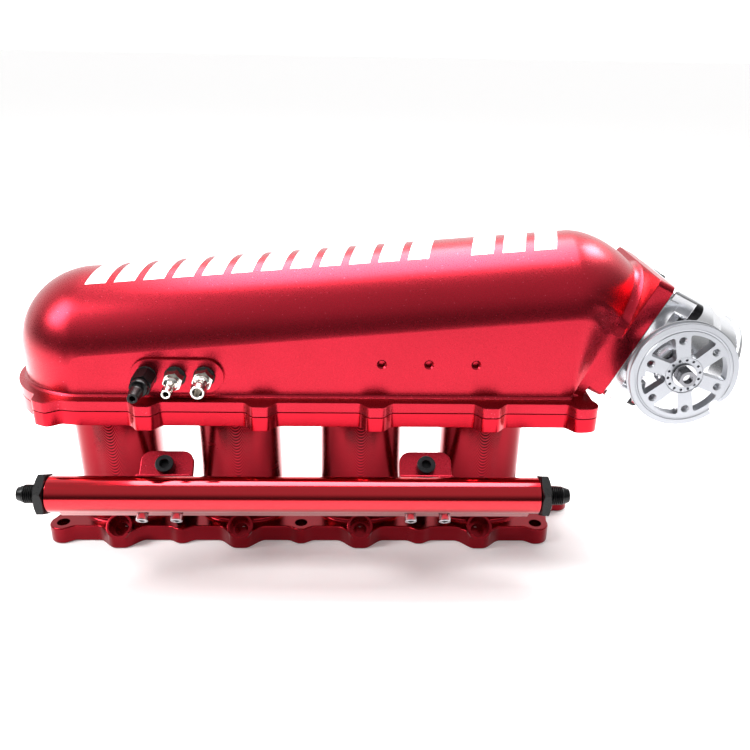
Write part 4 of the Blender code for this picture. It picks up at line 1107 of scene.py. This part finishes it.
# %% Hose fittings
# name, place, material, hexagon flats, hexagon top, bore radius, steps of (radius, height)
HOSE = (
    ("vacuum_check_fitting", FITTING_XS[0], BLACK_ANODISED, 0.0141, 0.0180, 0.0018,
     [(0.0062, 0.0170), (0.0066, 0.0185), (0.0066, 0.0215), (0.0060, 0.0225), (0.0042, 0.0230),
      (0.0042, 0.0255), (0.0048, 0.0270), (0.0048, 0.0280), (0.0043, 0.0290), (0.0046, 0.0312),
      (0.0036, 0.0378), (0.0034, 0.0380)]),
    ("vacuum_nipple_small", FITTING_XS[1], NICKEL, 0.0123, 0.0110, 0.0018,
     [(0.0052, 0.0105), (0.0052, 0.0143), (0.0048, 0.0147), (0.0032, 0.0155), (0.0032, 0.0220),
      (0.0040, 0.0245), (0.0040, 0.0255), (0.0032, 0.0308), (0.0030, 0.0310)]),
    ("vacuum_nipple_large", FITTING_XS[2], NICKEL, 0.0130, 0.0095, 0.0032,
     [(0.0058, 0.0090), (0.0058, 0.0122), (0.0054, 0.0127), (0.0046, 0.0135), (0.0046, 0.0200),
      (0.0056, 0.0220), (0.0056, 0.0232), (0.0048, 0.0278), (0.0046, 0.0280)]),
)
for name, x, material, flats, hex_top, bore_r, steps in HOSE:
    place = Matrix.Translation((x, -WALL_Y - PAD_TOP, PAD_Z)) @ Matrix.Rotation(math.pi / 2, 4, "X")
    last = steps[-1][1]
    profile = [(bore_r, -0.0080), (0.0050, -0.0080), (0.0050, hex_top - 0.001)] + steps
    profile += [(bore_r + 0.0004, last), (bore_r, last - 0.0005)]
    body = turned("hose_body", profile, place, 40, ring=True)
    flats = chamfered_hexagon("hose_hexagon", flats, 0.0018, hex_top, 10, place)
    fitting = gather("hose_fitting", [body, flats])
    finish(fitting, f"{name}_finished", material, "manifold", name)

# %% [markdown]
# ## The throttle body
#
# A bright machined casting: a square flange, four square lugs for the screws, and a barrel
# whose mouth narrows a little. The barrel is turned, the lugs are joined on, the edges are
# rounded, then the bores are cut.

# %% Flange and barrel
BORE_R = 0.0370
SHAFT = Vector((0.27212, 0, 0.15843))
ALONG_SHAFT = Matrix.Translation(SHAFT) @ Matrix.Rotation(math.pi / 2, 4, "X")
square = rounded_rectangle(0.046, 0.046, 0.009, 8)
housing = outline_plate("throttle_flange", square, 0.0014, 0.0105, THROTTLE)
bevel(housing, 0.0006, 2, 40)
profile = [(BORE_R, 0.0030), (0.0445, 0.0030), (0.0445, 0.0120), (0.0450, 0.0145), (0.0465, 0.0200),
           (0.0465, 0.0500), (0.0462, 0.0515), (0.0428, 0.0608), (0.0425, 0.0620), (0.0425, 0.0768),
           (0.0428, 0.0773), (0.0437, 0.0775), (0.0440, 0.0778), (0.0440, 0.0804), (0.0436, 0.0810),
           (0.0414, 0.0810), (0.0408, 0.0801), (BORE_R, 0.0650)]
barrel = turned("barrel", profile, THROTTLE, 128, ring=True)
# the barrel stays its own shell, so its long faces keep the even pattern of the lathe
cut(barrel, cylinder("shaft_hole", 0.0086, -0.080, 0.080, ALONG_SHAFT, 40))
print("barrel", len(barrel.data.polygons), "faces")

# %% Lugs, shaft bosses, sensor pads and stop post
lugs = []
for sx, sy in CORNERS:
    outline = [(x + sx * CORNER, y + sy * CORNER) for x, y in rounded_rectangle(0.0078, 0.0078, 0.0025, 5)]
    lug = outline_plate("lug", outline, 0.0030, 0.0220, THROTTLE)
    lugs.append(bevel(lug, 0.0006, 2, 40))
join(housing, *lugs)
extras = []
for name, low, high in (("front_boss", 0.040, 0.0535), ("rear_boss", -0.053, -0.040)):
    extras.append(bevel(cylinder(name, 0.0130, low, high, ALONG_SHAFT, 48), 0.0005, 2, 40))
for side in (-1, 1):
    place = THROTTLE @ Matrix.Translation((side * 0.020, 0, 0.031))
    extras.append(box("sensor_pad", (-0.0045, 0.030, -0.0045), (0.0045, 0.053, 0.0045), place))
post_low = SHAFT + Vector((-0.031, -0.0640, -0.0170))
extras.append(bevel(box("stop_post", post_low, post_low + Vector((0.008, 0.024, 0.008))), 0.0004, 2, 40))
join(housing, *extras)
print("housing", len(housing.data.polygons), "faces")

# %% Bores of the throttle body
bores = [cylinder("bore", BORE_R, -0.010, 0.0648, THROTTLE, 128)]
bores.append(cylinder("shaft_hole", 0.0086, -0.080, 0.080, ALONG_SHAFT, 40))
for sx, sy in CORNERS:
    bores.append(cylinder("bolt_hole", 0.0043, -0.002, 0.030, THROTTLE, 24, at=(sx * CORNER, sy * CORNER)))
stop_low = SHAFT + Vector((-0.027, -0.060, -0.030))
bores.append(cylinder("stop_thread", 0.0028, 0, 0.025, Matrix.Translation(stop_low), 24))
cut(housing, *bores)
housing = gather("throttle_housing", [housing, barrel])
finish(housing, "throttle_housing_finished", CAST_ALUMINIUM, "manifold", "throttle_housing", smooth=30)

# %% [markdown]
# ## The cable wheel
#
# The wheel pulls the throttle open. Its rim carries a groove for the cable, six spokes leave
# rounded windows, and there is a small hole at the end of each spoke and a ring of small
# holes round the hub. The disc is turned, the openings are cut, the edges are broken.

# %% Wheel disc
FRONT_Z = 0.0720
BACK_Z = 0.0645
MIDDLE = (FRONT_Z + BACK_Z) / 2
WHEEL_R = 0.0385
HUB_R = 0.0044
profile = [(HUB_R, BACK_Z), (0.0378, BACK_Z), (WHEEL_R, BACK_Z + 0.0005), (WHEEL_R, BACK_Z + 0.0016),
           (0.0366, MIDDLE - 0.0012), (0.0350, MIDDLE - 0.0004), (0.0350, MIDDLE + 0.0004),
           (0.0366, MIDDLE + 0.0012), (WHEEL_R, FRONT_Z - 0.0016), (WHEEL_R, FRONT_Z - 0.0005),
           (0.0380, FRONT_Z), (0.0345, FRONT_Z), (0.0341, FRONT_Z - 0.0005), (0.0330, FRONT_Z - 0.0006),
           (0.0326, FRONT_Z), (0.0135, FRONT_Z), (0.0130, FRONT_Z - 0.0006), (HUB_R, FRONT_Z - 0.0006)]
wheel = turned("wheel_disc", profile, None, 144, ring=True)
print("wheel disc", len(wheel.data.polygons), "faces")

# %% Windows and holes of the wheel
SPOKES = 6
FIRST_SPOKE = math.radians(41)
SPOKE_HOLE_AT = 0.0262
FIRST_HUB_HOLE = math.radians(11)
HUB_HOLES = 14
HUB_HOLES_AT = 0.0112
spoke_angles = [FIRST_SPOKE + math.tau / SPOKES * k for k in range(SPOKES)]
hub_angles = [FIRST_HUB_HOLE + math.tau / HUB_HOLES * k for k in range(HUB_HOLES)]


def around(radius, angle):
    """A place on a circle about the shaft."""
    return (radius * math.cos(angle), radius * math.sin(angle))


windows = []
wide, narrow = math.radians(19.5), math.radians(9)
for angle in spoke_angles:
    middle = angle + math.pi / SPOKES
    outline = [around(0.0300, middle - wide + 2 * wide * i / 8) for i in range(9)]
    outline += [around(0.0135, middle + narrow), around(0.0135, middle - narrow)]
    window = outline_plate("window", outline, BACK_Z - 0.004, FRONT_Z + 0.004)
    windows.append(bevel(window, 0.0022, 4, 50))
cut(wheel, gather("windows", windows))
holes = []
for angle in spoke_angles:
    holes.append(cylinder("spoke_hole", 0.0018, BACK_Z - 0.003, FRONT_Z + 0.003, sides=24,
                          at=around(SPOKE_HOLE_AT, angle)))
for angle in hub_angles:
    holes.append(cylinder("hub_hole", 0.0010, FRONT_Z - 0.003, FRONT_Z + 0.003, sides=12,
                          at=around(HUB_HOLES_AT, angle)))
cut(wheel, gather("wheel_holes", holes))
sinks = []
for angle in spoke_angles:
    sinks.append(cylinder("spoke_sink", 0.0018, FRONT_Z - 0.0012, FRONT_Z + 0.0002, sides=24,
                          at=around(SPOKE_HOLE_AT, angle), top=0.0031))
cut(wheel, gather("wheel_sinks", sinks))
print("wheel with openings", len(wheel.data.polygons), "faces")

# %% Cable seat and stop tab
notch = math.radians(-42)
seat = cylinder("cable_seat", 0.0036, BACK_Z - 0.004, FRONT_Z + 0.004, sides=32, at=around(0.0345, notch))
way = box("cable_way", (0.0350, -0.0016, BACK_Z - 0.004), (0.0450, 0.0200, FRONT_Z + 0.004),
          Matrix.Rotation(notch, 4, "Z") @ Matrix.Rotation(-0.10, 4, "Z"))
cut(wheel, seat, way)
bevel(wheel, 0.00025, 2, 40)
tab = box("stop_tab", (-0.0320, -0.0040, BACK_Z - 0.0080), (-0.0250, 0.0040, BACK_Z + 0.0010))
join(wheel, bevel(tab, 0.0003, 2, 40))
put(wheel, ALONG_SHAFT)
finish(wheel, "cable_wheel_finished", SATIN_ALUMINIUM, "throttle_valve", "cable_wheel", smooth=30)

# %% Shaft nut and washer
nut = chamfered_hexagon("nut", 0.0112, 0.0736, 0.0790, 20)
cut(nut, cylinder("nut_bore", 0.0034, 0.07, 0.082, sides=32))
finish(put(nut, ALONG_SHAFT), "shaft_nut_finished", TURNED_STEEL, "throttle_valve", "shaft_nut")
profile = [(0.0052, 0.0723), (0.0083, 0.0723), (0.0085, 0.0725), (0.0085, 0.0731), (0.0083, 0.0733),
           (0.0052, 0.0733)]
washer = turned("washer", profile, ALONG_SHAFT, 48, ring=True)
finish(washer, "lock_washer_finished", STAINLESS, "throttle_valve", "lock_washer")

# %% [markdown]
# ## Floor and light
#
# A part like this is shot on a white sweep with large soft boxes. Tinted metal shows what
# it mirrors, so the dark between the lights matters as much: the front wall mirrors the
# bright floor, the lower dome mirrors the dim room behind the camera, and the upper dome
# mirrors the overhead box.

# %% Floor
FLOOR_SIZE = 14
# the white paper reaches this far in front of the part; grey studio floor goes on from there
PAPER_EDGE = -0.95
FLOOR_Z = cad_low[2] - 0.0002
WHITE_PAPER = surface("white_paper", "F7F6F6", 0.7, 0.0, Emission_Strength=0.13,
                      Emission_Color=(1, 1, 1, 1))[0]
GREY_FLOOR = surface("grey_studio_floor", "77777A", 0.6, 0.0)[0]
for name, middle, material in (("floor", PAPER_EDGE + FLOOR_SIZE / 2, WHITE_PAPER),
                               ("studio_floor", PAPER_EDGE - FLOOR_SIZE / 2, GREY_FLOOR)):
    clear()
    bpy.ops.mesh.primitive_plane_add(size=FLOOR_SIZE, location=(0, middle, FLOOR_Z))
    sheet = bpy.context.object
    sheet.name = name
    sheet.data.materials.append(material)
print("floor at", FLOOR_Z)

# %% Room
world = bpy.data.worlds.new("studio_room")
bpy.context.scene.world = world
world.use_nodes = True
room = world.node_tree
direction = node(room, "ShaderNodeTexCoord").outputs["Generated"]
parts_of = node(room, "ShaderNodeSeparateXYZ", {"Vector": direction})
# dim on the side of the camera at low angles, white behind the part and overhead
behind = node(room, "ShaderNodeMapRange", {"Value": parts_of.outputs["Y"], "From Min": 0.0, "From Max": 0.45,
                                           "To Min": 0.0, "To Max": 1.0}, interpolation_type="SMOOTHSTEP")
above = node(room, "ShaderNodeMapRange", {"Value": parts_of.outputs["Z"], "From Min": 0.14, "From Max": 0.65,
                                          "To Min": 0.0, "To Max": 0.50}, interpolation_type="SMOOTHSTEP")
light = node(room, "ShaderNodeMath", {0: behind.outputs["Result"], 1: above.outputs["Result"]},
             operation="MAXIMUM")
level = node(room, "ShaderNodeMapRange", {"Value": light.outputs["Value"], "To Min": 0.13, "To Max": 1.35})
backdrop = room.nodes["Background"]
backdrop.inputs["Color"].default_value = (1, 1, 1, 1)
room.links.new(level.outputs["Result"], backdrop.inputs["Strength"])
print("room", len(room.nodes), "nodes")


# %% Soft boxes
def soft_box(name, place, aim, width, height, power):
    """A rectangular light at a place, turned to face the aim; sizes in metres, power in watts."""
    data = bpy.data.lights.new(name, "AREA")
    data.shape = "RECTANGLE"
    data.size = width
    data.size_y = height
    data.energy = power
    lamp = bpy.data.objects.new(name, data)
    bpy.context.scene.collection.objects.link(lamp)
    lamp.location = place
    lamp.rotation_euler = (Vector(aim) - Vector(place)).to_track_quat("-Z", "Y").to_euler()
    print(name, power, "W")


soft_box("overhead_box", (0.0, 0.32, 1.15), (0.0, 0.0, 0.15), 0.85, 0.9, 34)
soft_box("left_box", (-1.10, -0.40, 1.05), (-0.10, 0.0, 0.12), 0.5, 0.7, 20)
soft_box("right_box", (0.85, 0.45, 1.10), (0.19, 0.0, 0.20), 0.35, 0.45, 13)
bpy.context.scene.view_settings.view_transform = "Standard"
